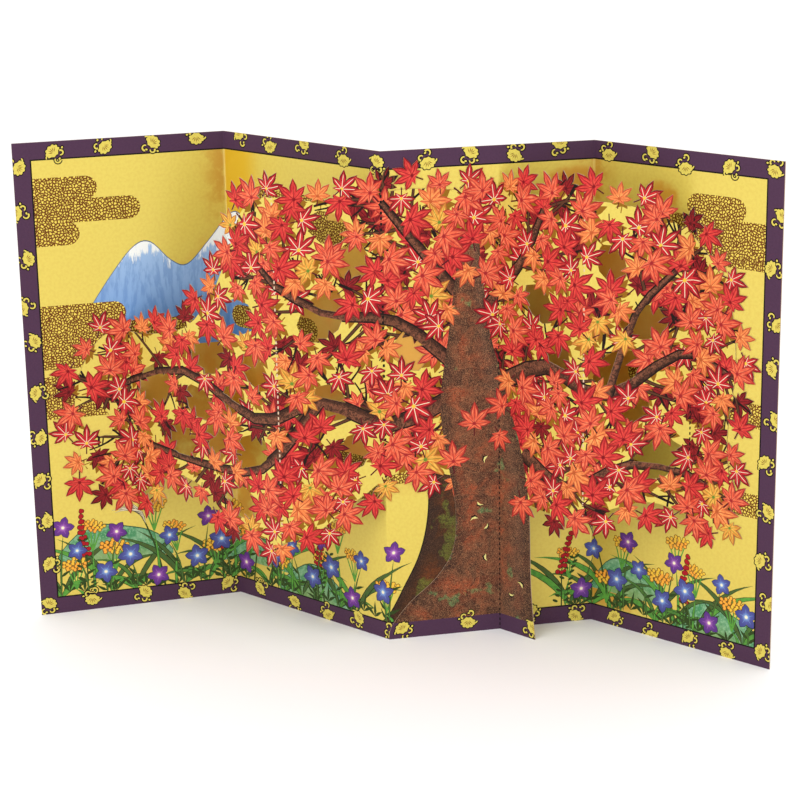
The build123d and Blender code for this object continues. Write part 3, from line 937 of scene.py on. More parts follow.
def straightened(flat, left, fixed):
    """Drops the points between two edges that run straight on, and gives those that stay."""
    beside = {}
    for a, b in left:
        beside.setdefault(a, set()).add(b)
        beside.setdefault(b, set()).add(a)
    for middle in sorted(set(beside) - fixed):
        if len(beside[middle]) != 2:
            continue
        a, b = beside[middle]
        if b in beside[a] or distance_to_line(flat[middle], [flat[a], flat[b]]) > STRAIGHT:
            continue
        for p, q in ((a, b), (b, a)):
            beside[p].discard(middle)
            beside[p].add(q)
            mark = left.pop((p, middle), None)
            left.pop((middle, q), None)
            if mark is not None:
                left[(p, q)] = mark
        del beside[middle]
    return sorted(beside)


def spread_marks(faces, marked, walls):
    """The mark of each triangle, spread from the marked edges as far as the walls."""
    owner = {edge: face for face, corners in enumerate(faces.tolist()) for edge in sides(corners)}
    result = np.full(len(faces), -1)
    for edge, mark in marked.items():
        if mark is None or edge not in owner or result[owner[edge]] >= 0:
            continue
        result[owner[edge]] = mark
        queue = [owner[edge]]
        while queue:
            for a, b in sides(faces[queue.pop()].tolist()):
                other = owner.get((b, a))
                if other is None or result[other] >= 0 or (a, b) in walls:
                    continue
                result[other] = mark
                queue.append(other)
    return result


def regrouped(flat, triangles, marks, fold_lines, fixed=None):
    """The same board in fewer triangles: only edges between two marks and on folds stay.

    Points between two edges that run straight on are dropped. Fixed points stay, and then the
    triangles keep the numbers of the given points.
    """
    left = {edge: mark for corners, mark in zip(triangles.tolist(), marks.tolist())
            for edge in sides(corners)}
    apart = np.abs(flat[:, :1] - np.array(fold_lines))
    fold = np.where(apart.min(axis=1) < STRAIGHT, apart.argmin(axis=1), -1)
    left = {(a, b): mark for (a, b), mark in left.items()
            if left.get((b, a)) != mark or (fold[a] >= 0 and fold[a] == fold[b])}
    used = straightened(flat, left, fixed or set())
    place_of = {k: place for place, k in enumerate(used)}
    edges = sorted({(min(a, b), max(a, b)) for a, b in left})
    found = delaunay_2d_cdt([Vector(flat[k]) for k in used], [(place_of[a], place_of[b]) for a, b in edges],
                            [], 0, MERGE_DISTANCE, True)
    points = np.array([tuple(point) for point in found[0]])
    faces = np.array(found[2])
    marked = {}
    for (p, q), origins in zip(found[1], found[4]):
        for origin in origins:
            a, b = edges[origin]
            same = np.dot(points[q] - points[p], flat[b] - flat[a]) > 0
            marked[(p, q)] = left.get((a, b) if same else (b, a))
            marked[(q, p)] = left.get((b, a) if same else (a, b))
    result = spread_marks(faces, marked, set(marked))
    if fixed is not None:
        faces = np.array([used[origin[0]] for origin in found[3]])[faces]
    return points, faces[result >= 0], result[result >= 0]


def close_small(flat, triangles, board, smallest_opening):
    """Fills openings smaller than the die leaves and drops loose scraps."""
    corners_of = triangles.tolist()
    owner = {edge: k for k, corners in enumerate(corners_of) for edge in sides(corners)}
    a, b, c = (flat[triangles[:, k]] for k in range(3))
    (bx, by), (cx, cy) = (b - a).T, (c - a).T
    areas = 0.5 * np.abs(bx * cy - by * cx)
    seen = np.zeros(len(triangles), bool)
    largest, largest_area = [], 0.0
    result = board.copy()
    for first in range(len(triangles)):
        if seen[first]:
            continue
        seen[first] = True
        group, queue, at_rim = [first], [first], False
        while queue:
            for p, q in sides(corners_of[queue.pop()]):
                other = owner.get((q, p))
                if other is None:
                    at_rim = True
                elif board[other] == board[first] and not seen[other]:
                    seen[other] = True
                    group.append(other)
                    queue.append(other)
        area = areas[group].sum()
        if not board[first]:
            result[group] = area < smallest_opening and not at_rim
        elif area > largest_area:
            result[largest] = False
            largest, largest_area = group, area
        else:
            result[group] = False
    return result


def sheet_maps(drawing, flat, triangles, top, plain):
    """The values of the three maps: on the drawing, and then on the plain corners of back and edge."""
    corners = flat[triangles].reshape(-1, 2)
    own = corners.copy()
    owner = np.repeat(top, 3)
    order = np.argsort(owner, kind="stable")
    for group in np.split(order, np.flatnonzero(np.diff(owner[order])) + 1):
        own[group] = drawing.outlines[owner[group[0]]].own(corners[group])
    tones = np.array([outline.tone for outline in drawing.outlines])[owner]
    return {FLAT_MAP: np.concatenate([corners, plain]),
            OWN_MAP: np.concatenate([own, plain]),
            TONE_MAP: np.concatenate([tones, np.full((len(plain), 2), 0.5)])}


def folded_sheet(name, drawing, path, height, smallest_opening, finishes):
    """One closed sheet: the drawing in front, plain board behind and cut edges between."""
    flat, triangles, top, back = drawing.triangles(
        path.stations[1:-1, 0], -FOLD_OVERRUN, height + FOLD_OVERRUN, smallest_opening)
    front_points, back_points = np.unique(triangles), np.unique(back)
    front_number, back_number = np.zeros(len(flat), int), np.zeros(len(flat), int)
    front_number[front_points] = np.arange(len(front_points))
    back_number[back_points] = np.arange(len(back_points)) + len(front_points)
    back = back[:, ::-1]
    rim = rim_edges(triangles)
    walls = [(front_number[q], front_number[p], back_number[p], back_number[q]) for p, q in rim]
    faces = front_number[triangles].tolist() + back_number[back].tolist() + np.array(walls).tolist()
    mesh = bpy.data.meshes.new(name)
    places = np.concatenate([path.place(flat[front_points], path.ahead),
                             path.place(flat[back_points], -path.behind)])
    mesh.from_pydata(places.tolist(), [], faces)
    names = sorted({outline.ink for outline in drawing.outlines}) + ["card_back", "card_edge"]
    for key in names:
        mesh.materials.append(finishes[key])
    slots = [names.index(drawing.outlines[k].ink) for k in top]
    slots += [names.index("card_back")] * len(back) + [names.index("card_edge")] * len(walls)
    mesh.polygons.foreach_set("material_index", slots)
    edge = np.array([flat[k] for p, q in rim for k in (q, p, p, q)])
    plain = np.concatenate([flat[back].reshape(-1, 2), edge])
    for key, values in sheet_maps(drawing, flat, triangles, top, plain).items():
        layer = mesh.uv_layers.new(name=key, do_init=False)
        layer.uv.foreach_set("vector", values.astype(np.float32).ravel())
    mesh.validate()
    return placed(name, mesh)


# The tree sheet's outlines

def by_trunk(along):
    return TRUNK_PLACE[0] < along < TRUNK_PLACE[1]


def canopy_point(share, screen, tree):
    """A point of the flat sheet from its shares of the canopy."""
    reach = 2 * screen.panel_width - tree.side_margin
    lowest = screen.panel_height - tree.top_margin - tree.canopy_depth
    return (share[0] * reach, lowest + share[1] * tree.canopy_depth)


def trunk_sides(tree):
    """The trunk: roots that flare to the left, a waist, and a top that tapers. Both sides run upwards."""
    foot = tree.trunk_foot_width
    waist = tree.trunk_waist_width
    up = tree.trunk_waist_height
    rise = tree.trunk_top_height - up
    waist_right = foot - 0.05 * foot
    waist_left = waist_right - waist
    top_middle = waist_left + 0.2 * waist
    left = [
        (0.0, 0.0), (0.02 * foot, 0.10 * up), (0.14 * foot, 0.27 * up), (0.31 * foot, 0.44 * up),
        (0.42 * foot, 0.66 * up), (waist_left, up), (waist_left - 0.10 * waist, up + 0.18 * rise),
        (waist_left - 0.16 * waist, up + 0.38 * rise), (waist_left - 0.06 * waist, up + 0.62 * rise),
        (top_middle - 0.5 * tree.trunk_top_width, up + rise),
    ]
    right = [
        (foot, 0.0), (foot - 0.035 * foot, 0.40 * up), (waist_right, up),
        (waist_left + 0.88 * waist, up + 0.20 * rise), (waist_left + 0.66 * waist, up + 0.40 * rise),
        (waist_left + 0.44 * waist, up + 0.62 * rise),
        (top_middle + 0.5 * tree.trunk_top_width, up + rise),
    ]
    return smooth_line(left), smooth_line(right)


def canopy_grid(screen, tree, pitch, rise, first_row, stray, per_row, salt, beyond=0):
    """Counted places in staggered rows over the canopy. Each strays a little."""
    columns = int(2 * screen.panel_width / pitch) + beyond
    top = screen.panel_height - tree.top_margin
    for row in range(int(tree.canopy_depth / rise)):
        for column in range(-columns, columns + 1):
            count = per_row * row + column + columns
            yield count, ((column + 0.5 * (row % 2)) * pitch + stray * (even(count, salt) - 0.5),
                          top - (row + first_row) * rise + stray * (even(count, salt + 1) - 0.5))


def clear_inside(point, loop, room):
    """Whether a point is inside a closed loop and no nearer to it than the room."""
    return inside(point, loop) and distance_to_line(point, loop, True) >= room


def by_window(point, windows, room):
    return any(math.dist(point, middle) < size + room for middle, size, _ in windows)


def window_loops(screen, tree, folds, rim, trunk):
    """The openings in the canopy, in staggered rows, as their middles, sizes and outlines."""
    windows = []
    grid = canopy_grid(screen, tree, tree.window_pitch_along, tree.window_pitch_up, FIRST_WINDOW_ROW,
                       tree.window_scatter, 40, 1, beyond=1)
    for count, middle in grid:
        size = tree.window_radius * (1 + WINDOW_SPREAD * (2 * even(count, 3) - 1))
        room = size + tree.window_clearance
        if (clear_inside(middle, rim, room) and not inside(middle, trunk)
                and distance_to_line(middle, trunk, True) > room
                and all(abs(middle[0] - fold) > room for fold in folds)):
            width = size * (WINDOW_SLIMMEST + (WINDOW_ROUNDEST - WINDOW_SLIMMEST) * even(count, 5))
            windows.append((middle, size, oval(middle, size, width, math.pi * even(count, 4), 8)))
    return windows


def leaf_shape():
    """A seven-lobed leaf of length 1 that points up, with curved and toothed lobes."""
    def at(angle, ahead, aside=0.0):
        bearing = math.radians(angle)
        return (ahead * math.sin(bearing) + aside * math.cos(bearing),
                ahead * math.cos(bearing) - aside * math.sin(bearing))

    points = []
    for lobe in range(-SIDE_LOBES, SIDE_LOBES + 1):
        angle = lobe * LOBE_TURN
        reach = 1 - LOBE_SHORTENING * lobe ** 2
        fullness = LEAST_FULLNESS + (1 - LEAST_FULLNESS) * reach
        edge = [] if reach < SHORT_LOBE else LOBE_EDGE
        half = LOBE_HALF_WIDTH * fullness
        points += [at(angle, share * reach, -width * half) for share, width in edge]
        points.append(at(angle, reach))
        points += [at(angle, share * reach, width * half) for share, width in edge[::-1]]
        if lobe < SIDE_LOBES:
            points.append(at(angle + LOBE_TURN / 2, NOTCH * fullness))
    root = NOTCH * SHORT_LOBE
    points += [at(180, root, -STALK_HALF_WIDTH), at(180, STALK, -STALK_HALF_WIDTH),
               at(180, STALK, STALK_HALF_WIDTH), at(180, root, STALK_HALF_WIDTH)]
    return anticlockwise(points)


def leaf_size(tree, chance):
    return tree.leaf_length * (1 + tree.leaf_size_spread * (2 * chance - 1))


def window_leaf_places(tree, windows):
    """The leaves round each window, which point into it."""
    places = []
    for middle, size, _ in windows:
        around = round(2 * math.pi * size / tree.window_leaf_pitch)
        for k in range(around):
            count = len(places)
            bearing = 2 * math.pi * (k + RING_STRAY * even(count, 13)) / around
            at = step(middle, (math.sin(bearing), math.cos(bearing)), size + tree.window_leaf_setback)
            turn = bearing + math.pi + tree.window_leaf_sway * (2 * even(count, 14) - 1)
            places.append((at, turn, leaf_size(tree, even(count, 15))))
    return places


def rim_leaf_places(tree, rim):
    """The leaves on the rim line, which point outwards."""
    places = []
    walked = 0.0
    for start, end in zip(rim, rim[1:] + rim[:1]):
        walked += math.dist(start, end)
        if walked >= tree.rim_leaf_pitch:
            walked -= tree.rim_leaf_pitch
            count = len(places)
            out = forward(toward(start, end))
            turn = math.atan2(*out) + tree.rim_leaf_sway * (2 * even(count, 7) - 1)
            at = step(end, out, tree.rim_leaf_scatter * (even(count, 12) - 0.5))
            places.append((at, turn, leaf_size(tree, even(count, 6))))
    return places


def inner_leaf_places(screen, tree, rim, windows):
    """The leaves in rows inside the rim, between the windows."""
    places = []
    pitch = tree.inner_leaf_pitch
    grid = canopy_grid(screen, tree, pitch, pitch * math.sqrt(0.75), 1, tree.inner_leaf_scatter, 100, 8)
    for count, middle in grid:
        if (clear_inside(middle, rim, RIM_ROOM * pitch)
                and not by_window(middle, windows, tree.window_leaf_room)):
            size = INNER_LEAF_SHARE * leaf_size(tree, even(count, 10))
            places.append((middle, 2 * math.pi * even(count, 11), size))
    return places


def filler_places(screen, tree, rim, windows, leaves):
    """Printed leaves for the gaps between the cut ones."""
    places = []
    taken = np.array([at for at, _, _ in leaves])
    pitch = FILLER_STEP * tree.filler_room
    columns = int(2 * screen.panel_width / pitch)
    for row in range(int(tree.canopy_depth / pitch)):
        for column in range(-columns, columns + 1):
            count = 900 * row + column + columns
            at = ((column + even(count, 51)) * pitch, screen.panel_height - tree.top_margin - row * pitch)
            if (np.hypot(*(taken - at).T).min() >= tree.filler_room
                    and clear_inside(at, rim, tree.leaf_length)
                    and not by_window(at, windows, FILLER_SETBACK * tree.leaf_length)):
                places.append((at, 2 * math.pi * even(count, 52), leaf_size(tree, even(count, 53))))
                taken = np.vstack([taken, at])
    return places


def leaf_kind(count):
    """The kind of a counted leaf, by the kinds' shares."""
    chance = even(count, 21)
    for kind, (share, *_) in enumerate(KINDS.values()):
        chance -= share
        if chance < 0:
            return kind
    return 0


def lay_leaves(drawing, leaves, loops, chosen, cut_count):
    """Lays the chosen leaves, given by their counts. Those from cut_count on are only printed."""
    for k in chosen:
        middle, turn, size = leaves[k]
        tone = ((leaf_kind(k) + 0.5) / len(KINDS), even(k, 22))
        drawing.lay(loops[k], "leaf_print", stamp_frame(middle, turn, size), tone, cuts=k < cut_count)


def lay_trunk(drawing, left, right, low, high, ink):
    """Lays the trunk in slices, so that its shading follows both sides."""
    own = band_frame(left, right)
    sides_up = [np.array(left), np.array(right)]
    wanted = sorted([*np.arange(low, high, TRUNK_SLICE), high,
                     *(v for _, v in left + right if low <= v <= high)])
    heights = [v for v, after in zip(wanted, wanted[1:]) if after - v > LEAST_SLICE] + [high]
    edges = [(*(float(np.interp(v, side[:, 1], side[:, 0])) for side in sides_up), v) for v in heights]
    for (l0, r0, v0), (l1, r1, v1) in zip(edges, edges[1:]):
        drawing.lay([(l0, v0), (r0, v0), (r1, v1), (l1, v1)], ink, own, cuts=True)


def lay_limb(drawing, line, root_width, tip_width, ink, cuts):
    """Lays a tapered limb in one piece for each of its runs."""
    near, far = stroke_sides(line, taper(root_width, tip_width))
    own = line_frame(line, root_width, tip_width)
    for k in range(len(line) - 1):
        drawing.lay([near[k], near[k + 1], far[k + 1], far[k]], ink, own, cuts=cuts)


def forked_twig(root, bearing, reach, bend, forks, side=1):
    """A bent twig, and its forks with their widths. On side -1 the forks are mirrored."""
    twig = smooth_line(bent_line(root, bearing, reach, bend, 4), 2)
    return twig, [(width, bent_line(twig[corner], bearing + side * turn, share * reach, side * bent, 3))
                  for corner, width, turn, share, bent in forks]


def twig_lines(limbs):
    """The twigs of all limbs, and their forks with their widths: two on each run, three at the end."""
    made = []
    for limb, (_, line) in enumerate(limbs):
        for k, (start, end) in enumerate(zip(line, line[1:])):
            run = toward(start, end)
            at = math.atan2(*run)
            for j in range(2):
                count = 31 * limb + 7 * k + j
                side = 1 if (j + k) % 2 else -1
                root = step(start, run, math.dist(start, end) * ranged(0.2 + 0.5 * j, 0.2, count, 31))
                bearing = at + side * ranged(*TWIG_TURNS, count, 32)
                made.append(forked_twig(root, bearing, ranged(*TWIG_RANGE, count, 33),
                                        -side * 0.6 * even(count, 34), SIDE_FORKS, side))
        for j in (-1, 0, 1):
            made.append(forked_twig(line[-1], at + TWIG_TURNS[0] * j, ranged(*END_TWIG_RANGE, limb + j, 35),
                                    0.5 * j, END_FORKS))
    return [twig for twig, _ in made], [fork for _, forks in made for fork in forks]


def lay_flecks(drawing, left, right, height, repeats):
    """Small fallen petals on the trunk: pale crescents on a dark line."""
    places = []
    for k, (up, across) in enumerate(FLECKS):
        v = up * height
        low, high = (float(np.interp(v, *np.array(side).T[::-1])) for side in (left, right))
        places.append(((low + (high - low) * across, v), 2 * math.pi * even(k, 61), 1.1 + 0.5 * even(k, 62)))
    for drop, width, ink in ((-0.28, 0.9, "line_print"), (0.0, 0.55, "fleck_print")):
        line = [(-0.95, drop), (-0.3, drop - 0.35), (0.35, drop - 0.35), (1.0, drop + 0.1)]
        drawing.lay_all(stamped(repeats["points"], [blade(line, width)], places), ink)


def lay_dashes(drawing, tree, screen, folds, repeats):
    """The score lines: pale dashes on the folds that point to the front, and dark dashes of painted shade on
    the others, for the shade seen through their perforations.
    """
    half = 0.5 * tree.dash_length
    for k, fold in enumerate(folds):
        low = 0.0 if by_trunk(fold) else canopy_point((0, 0), screen, tree)[1]
        pale = k in PALE_FOLDS
        width = tree.pale_dash_width if pale else tree.dark_dash_width
        loops = drawn_repeat(repeats["path"], path_mesh([(fold, low), (fold, screen.panel_height)]),
                             [rectangle(-half, -0.5 * width, half, 0.5 * width)],
                             {"Size": 1.0, "Pitch": tree.dash_pitch, "Stray": 0.0, "Sway": 0.0, "Seed": 1})
        drawing.lay_all(loops, "dash_print" if pale else "line_print")


def leaf_layers(tree, leaves, cut_count, trunk, limbs):
    """The counts of the leaves behind the twigs, of those between twigs and limbs, and in front."""
    behind, between, front = [], [], []
    for k, (at, _, _) in enumerate(leaves):
        on_trunk = inside(at, trunk) and at[1] < TRUNK_COVER * tree.trunk_top_height
        by_limb = any(distance_to_line(at, line) < LIMB_ROOM for _, line in limbs)
        deep = k >= cut_count or leaf_kind(k) == MAROON
        if deep or (on_trunk and even(k, 41) > OVER_TRUNK_SHARE):
            behind.append(k)
        elif by_limb and even(k, 42) < UNDER_LIMB_SHARE:
            between.append(k)
        else:
            front.append(k)
    return behind, between, sorted(front, key=lambda k: even(k, 43))


def lay_twigs(drawing, tree, limbs):
    """Twigs and forks in the dark ink, and a lighter middle on the twigs."""
    twigs, forks = twig_lines(limbs)
    for width, line in forks + [(TWIG_WIDTH, twig) for twig in twigs]:
        drawing.lay(stroke(line, width, 0.5 * width), "twig_print")
    for twig in twigs:
        drawing.lay(stroke(twig[:-2], TWIG_WIDTH - tree.limb_outline, 0.3 * TWIG_WIDTH), "branch_print")


def lay_limbs(drawing, tree, limbs):
    for share, line in limbs:
        root, tip, outline = tree.limb_root_width * share, tree.limb_tip_width, 2 * tree.limb_outline
        lay_limb(drawing, line, root + outline, tip + outline, "twig_print", False)
        lay_limb(drawing, line, root, tip, "limb_print", True)


def draw_tree(screen, tree, folds, repeats):
    """The flat drawing of the tree sheet."""
    drawing = Drawing()
    rim = smooth_loop([canopy_point(share, screen, tree) for share in RIM])
    left, right = trunk_sides(tree)
    trunk = left + right[::-1]
    windows = window_loops(screen, tree, folds, rim, trunk)
    leaves = rim_leaf_places(tree, rim)
    leaves += window_leaf_places(tree, windows)
    leaves += inner_leaf_places(screen, tree, rim, windows)
    cut_count = len(leaves)
    leaves += filler_places(screen, tree, rim, windows, leaves)
    loops = stamped(repeats["points"], [leaf_shape()], leaves)
    limbs = [(share, smooth_line([canopy_point(point, screen, tree) for point in line], 3))
             for share, line in LIMBS]
    drawing.lay(offset_loop(rim, -tree.web_setback), "gold_print")
    drawing.lay_all([loop for _, _, loop in windows], "gold_print", opens=True)
    # Painted drop shadows: darker copies of some leaves under them, moved to the right and down
    drawing.lay_all([[step(point, SHADE_WAY, tree.leaf_shadow_drop) for point in loop]
                     for k, loop in enumerate(loops) if even(k, 44) < SHADE_SHARE], "shade_print")
    behind, between, front = leaf_layers(tree, leaves, cut_count, trunk, limbs)
    lay_leaves(drawing, leaves, loops, behind, cut_count)
    lay_twigs(drawing, tree, limbs)
    lay_leaves(drawing, leaves, loops, between, cut_count)
    lay_limbs(drawing, tree, limbs)
    lay_trunk(drawing, left, right, 0.0, tree.trunk_top_height, "bark_print")
    lay_flecks(drawing, left, right, tree.trunk_top_height, repeats)
    lay_trunk(drawing, left, right, 0.0, screen.long_border, "border_print")
    foot = [(share * tree.trunk_foot_width, FOOT_BLOSSOM_RISE * screen.long_border)
            for share in FOOT_BLOSSOM_ENDS]
    lay_blossoms(drawing, path_mesh(foot), screen, repeats)
    lay_dashes(drawing, tree, screen, folds, repeats)
    lay_leaves(drawing, leaves, loops, front, cut_count)
    return drawing


# The screen card's outlines

def lay_border(drawing, screen, repeats):
    """The dark border, its inner line and its blossoms."""
    w = 2 * screen.panel_width
    h = screen.panel_height
    side, long = screen.side_border, screen.long_border
    for ink, more in (("line_print", screen.border_line), ("border_print", 0.0)):
        drawing.lay(rectangle(-w, 0, w, long + more), ink)
        drawing.lay(rectangle(-w, h - long - more, w, h), ink)
        drawing.lay(rectangle(-w, 0, -w + side + more, h), ink)
        drawing.lay(rectangle(w - side - more, 0, w, h), ink)
    path = rectangle(-w + side / 2, long / 2, w - side / 2, h - long / 2)
    lay_blossoms(drawing, path_mesh(path, closed=True), screen, repeats)


def blossom_fan(grow):
    """The blossom itself: a scalloped fan on a short foot."""
    loop = []
    for k in range(FAN_CORNERS + 1):
        turn = math.radians(-38 + 256 * k / FAN_CORNERS)
        radius = 0.80 + grow + 0.19 * abs(math.cos(4.92 * (turn - math.pi / 2)))
        loop.append((1.08 * radius * math.cos(turn), 0.42 + 0.86 * radius * math.sin(turn)))
    foot = [(-0.30 - grow, -0.36), (-0.12, -0.30 - grow), (0.12, -0.30 - grow), (0.30 + grow, -0.36)]
    return anticlockwise(loop + foot)


def blossom_shapes():
    """A blossom of size 1 with curls and dots: its dark ground, its gold and its inner lines."""
    shapes = []
    for grow in (BLOSSOM_OUTLINE, 0.0):
        loops = [blossom_fan(grow)]
        for start, bearing, bend, reach in BLOSSOM_CURLS:
            loops.append(stroke(bent_line(start, bearing, reach, bend, 7), 0.16 + 2 * grow, 0.26 + 2 * grow))
        loops += [oval(middle, 0.17 + grow, 0.13 + grow, 0.3, 8) for middle in BLOSSOM_DOTS]
        shapes.append(loops)
    lines = []
    for turn in (-62, -30, 0, 30, 62):
        across, up = math.sin(math.radians(turn)), math.cos(math.radians(turn))
        lines.append(blade([(0.16 * across, 0.10 + 0.16 * up), (0.40 * across, 0.22 + 0.40 * up),
                            (0.72 * across, 0.36 + 0.62 * up)], 0.12))
    return *shapes, lines


def lay_blossoms(drawing, path, screen, repeats):
    dark, gold, lines = blossom_shapes()
    inputs = {"Size": screen.blossom_size, "Pitch": screen.blossom_pitch, "Stray": screen.blossom_stray,
              "Sway": BLOSSOM_SWAY, "Seed": BLOSSOM_SEED}
    for shapes, ink in ((dark, "line_print"), (gold, "blossom_print"), (lines, "ochre_print")):
        drawing.lay_all(drawn_repeat(repeats["path"], path.copy(), shapes, inputs), ink)


def ridge_frame(line):
    """Along the sheet, and how far below a ridge."""
    ridge = np.array(line)

    def own(points):
        top = np.interp(points[:, 0], ridge[:, 0], ridge[:, 1])
        return np.stack([points[:, 0], top - points[:, 1]], axis=1)
    return own


def lay_ridge(drawing, line, foot, ink):
    """Lays the ground under a ridge in upright slices, so that its shading follows the ridge."""
    own = ridge_frame(line)
    for (u0, v0), (u1, v1) in zip(line, line[1:]):
        drawing.lay([(u0, foot), (u1, foot), (u1, v1), (u0, v0)], ink, own)


def lay_sky(drawing):
    """Far hills with snow on their rounded tops, between bands of mist."""
    lay_ridge(drawing, smooth_line(HILLS, 5), HILLS_FOOT, "hill_print")
    for left, right, height in MIST:
        drawing.lay(stadium(left, right, height, MIST_HALF), "mist_print")


def garden_spots(screen, pitch, salt, low, high):
    """Counted places along the foot of the screen, on both sides of the trunk."""
    spots = []
    reach = 2 * screen.panel_width - screen.side_border
    for count in range(int(2 * reach / pitch)):
        across = -reach + (count + 0.5 + 0.8 * (even(count, salt) - 0.5)) * pitch
        if not by_trunk(across):
            spots.append((count, (across, low + (high - low) * even(count, salt + 1))))
    return spots


def outlined_blade(drawing, line, width, edge, ink, shade=0.5):
    drawing.lay(blade(line, width + 2 * edge), "line_print")
    drawing.lay(blade(line, width), ink, tone=(shade, 0.5))


def stem_to(head, ground, sway):
    """A stem that rises from the ground to a flower."""
    foot = (head[0] + sway, ground)
    knee = (head[0] + 0.75 * sway, ground + 0.5 * (head[1] - ground))
    return smooth_line([foot, knee, head], 3)


def star_shape(grow):
    """A five-pointed flower of size 1 with full sides."""
    loop = []
    for k in range(5):
        for turn, radius in ((-24, 0.80), (-12, 0.93), (0, 1.08), (12, 0.93), (24, 0.80), (36, 0.60)):
            at = math.radians(72 * k + turn)
            loop.append(((radius + grow) * math.sin(at), (radius + grow) * math.cos(at)))
    return anticlockwise(loop)


def cluster_shape(grow):
    """The florets of a flat-topped cluster of size 1."""
    loops = []
    for k in range(FLORETS):
        radius = math.sqrt((k + 0.5) / FLORETS)
        turn = FLORET_TURN * k
        loops.append(oval((0.92 * radius * math.cos(turn), 0.46 * radius * math.sin(turn)),
                          0.125 + grow, 0.11 + grow, turn, 6))
    return loops


def lay_clusters(drawing, screen, repeats):
    """Flat-topped flower clusters on forked stems."""
    size = screen.cluster_size
    spots = garden_spots(screen, screen.cluster_pitch, 71, *CLUSTER_HEIGHTS)
    for count, head in spots:
        fork = (head[0] + 0.3 * size * (even(count, 73) - 0.5), head[1] - 1.9 * size)
        if fork[1] > screen.long_border + 1:
            stem = stem_to(fork, screen.long_border, 6 * (even(count, 74) - 0.5))
            outlined_blade(drawing, stem, 0.9, 0.5 * screen.ink_line, "plant_print", BRIGHT_GREEN)
        for j in range(4):
            end = (head[0] + size * (0.42 * j - 0.63), head[1] - 0.1 * size)
            drawing.lay(stroke([fork, end], 0.6, 0.45), "plant_print", tone=(BRIGHT_GREEN, 0.5))
    places = [(head, 0.5 * (even(count, 75) - 0.5), size * (0.85 + 0.3 * even(count, 76)))
              for count, head in spots]
    for grow, ink in ((0.05, "ochre_print"), (0.0, "floret_print")):
        for k, loop in enumerate(stamped(repeats["points"], cluster_shape(grow), places)):
            drawing.lay(loop, ink, tone=(0.5, even(k, 77)))


def lay_stars(drawing, screen, repeats):
    """Star flowers in blue and violet on thin stems."""
    spots = garden_spots(screen, screen.star_pitch, 81, *STAR_HEIGHTS)
    for count, head in spots:
        top = (head[0], head[1] - 0.5 * screen.star_size)
        stem = stem_to(top, screen.long_border, 9 * (even(count, 83) - 0.5))
        outlined_blade(drawing, stem, 0.6, 0.4 * screen.ink_line, "plant_print", DULL_GREEN)
        for j in range(3):
            turn = (1 if (count + j) % 2 else -1) * (0.7 + 0.5 * even(count + j, 84))
            drawing.lay(blade(bent_line(stem[1 + j], turn, 4.6, 0.3, 3), 1.15), "sprig_print")
    places = [(head, 2 * math.pi * even(count, 85), screen.star_size * (0.85 + 0.25 * even(count, 86)))
              for count, head in spots]
    for grow, ink in ((0.05, "line_print"), (0.0, "star_print")):
        for k, loop in enumerate(stamped(repeats["points"], [star_shape(grow)], places)):
            kind = 0.25 if even(spots[k][0], 87) < BLUE_SHARE else 0.75
            drawing.lay(loop, ink, stamp_frame(*places[k]), (kind, even(k, 88)))


def lay_spikes(drawing, screen, repeats):
    """Spikes of red berries over dark round leaves."""
    berries, leaves = [], []
    for count, foot in garden_spots(screen, screen.spike_pitch, 91, *SPIKE_FEET):
        line = bent_line(foot, 0.5 * (even(count, 93) - 0.5), SPIKE_LENGTH, 0.3, BERRY_ROWS)
        drawing.lay(stroke([(foot[0], screen.long_border)] + line, 0.5, 0.3), "sprig_print")
        for k, at in enumerate(line):
            spread = 1.25 * (1 - k / (BERRY_ROWS + 1))
            for side in (-1, 0, 1):
                berry = 30 * count + 3 * k + side
                spot = (at[0] + side * spread + 0.4 * (even(berry, 94) - 0.5), at[1] + 0.8 * even(berry, 95))
                berries.append((spot, 0.0, screen.berry_size * (0.8 + 0.4 * even(berry, 96))))
                low = (spot[0] + 0.9 * side, spot[1] - SPIKE_LEAF_DROP)
                if side and low[1] > screen.long_border:
                    leaves.append((low, side * 1.1, 1.25))
    drawing.lay_all(stamped(repeats["points"], [oval((0, 0), 0.42, 0.9, 0.0, 8)], leaves), "sprig_print")
    for radius, ink in ((1.28, "line_print"), (1.0, "berry_print")):
        drawing.lay_all(stamped(repeats["points"], [oval((0, 0), radius, radius, 0.0, 8)], berries), ink)


def lay_blades(drawing, screen):
    """Tufts of long blades that arch."""
    ground = screen.long_border
    for count, foot in garden_spots(screen, screen.blade_pitch, 101, ground, ground):
        for j in range(BLADES):
            leaf = BLADES * count + j
            side = 1 if j % 2 else -1
            line = bent_line(foot, side * (0.1 + 0.6 * even(leaf, 103)), ranged(*BLADE_RANGE, leaf, 104),
                             side * (0.8 + 1.0 * even(leaf, 105)), 9)
            outlined_blade(drawing, line, screen.blade_width * (0.5 + 0.6 * even(leaf, 106)),
                           0.8 * screen.ink_line, "plant_print", even(leaf, 107))


def lay_plumes(drawing, screen):
    """Grass plumes of pale hairs on a dark stem."""
    ground = screen.long_border
    for count, foot in garden_spots(screen, screen.plume_pitch, 111, ground, ground):
        side = 1 if count % 2 else -1
        stem = bent_line(foot, 0.1 * side, ranged(*PLUME_RANGE, count, 112), 0.35 * side, 6)
        drawing.lay(stroke(stem, 0.8, 0.5), "sprig_print")
        for j in range(HAIRS):
            hair = bent_line(step(stem[-2], (0.1 * side, 0.9), 0.6 * j), side * (0.15 + 0.11 * j),
                             ranged(*HAIR_RANGE, j, 113), side * 0.9, 5)
            outlined_blade(drawing, hair, 0.75, 0.6 * screen.ink_line, "plume_print")


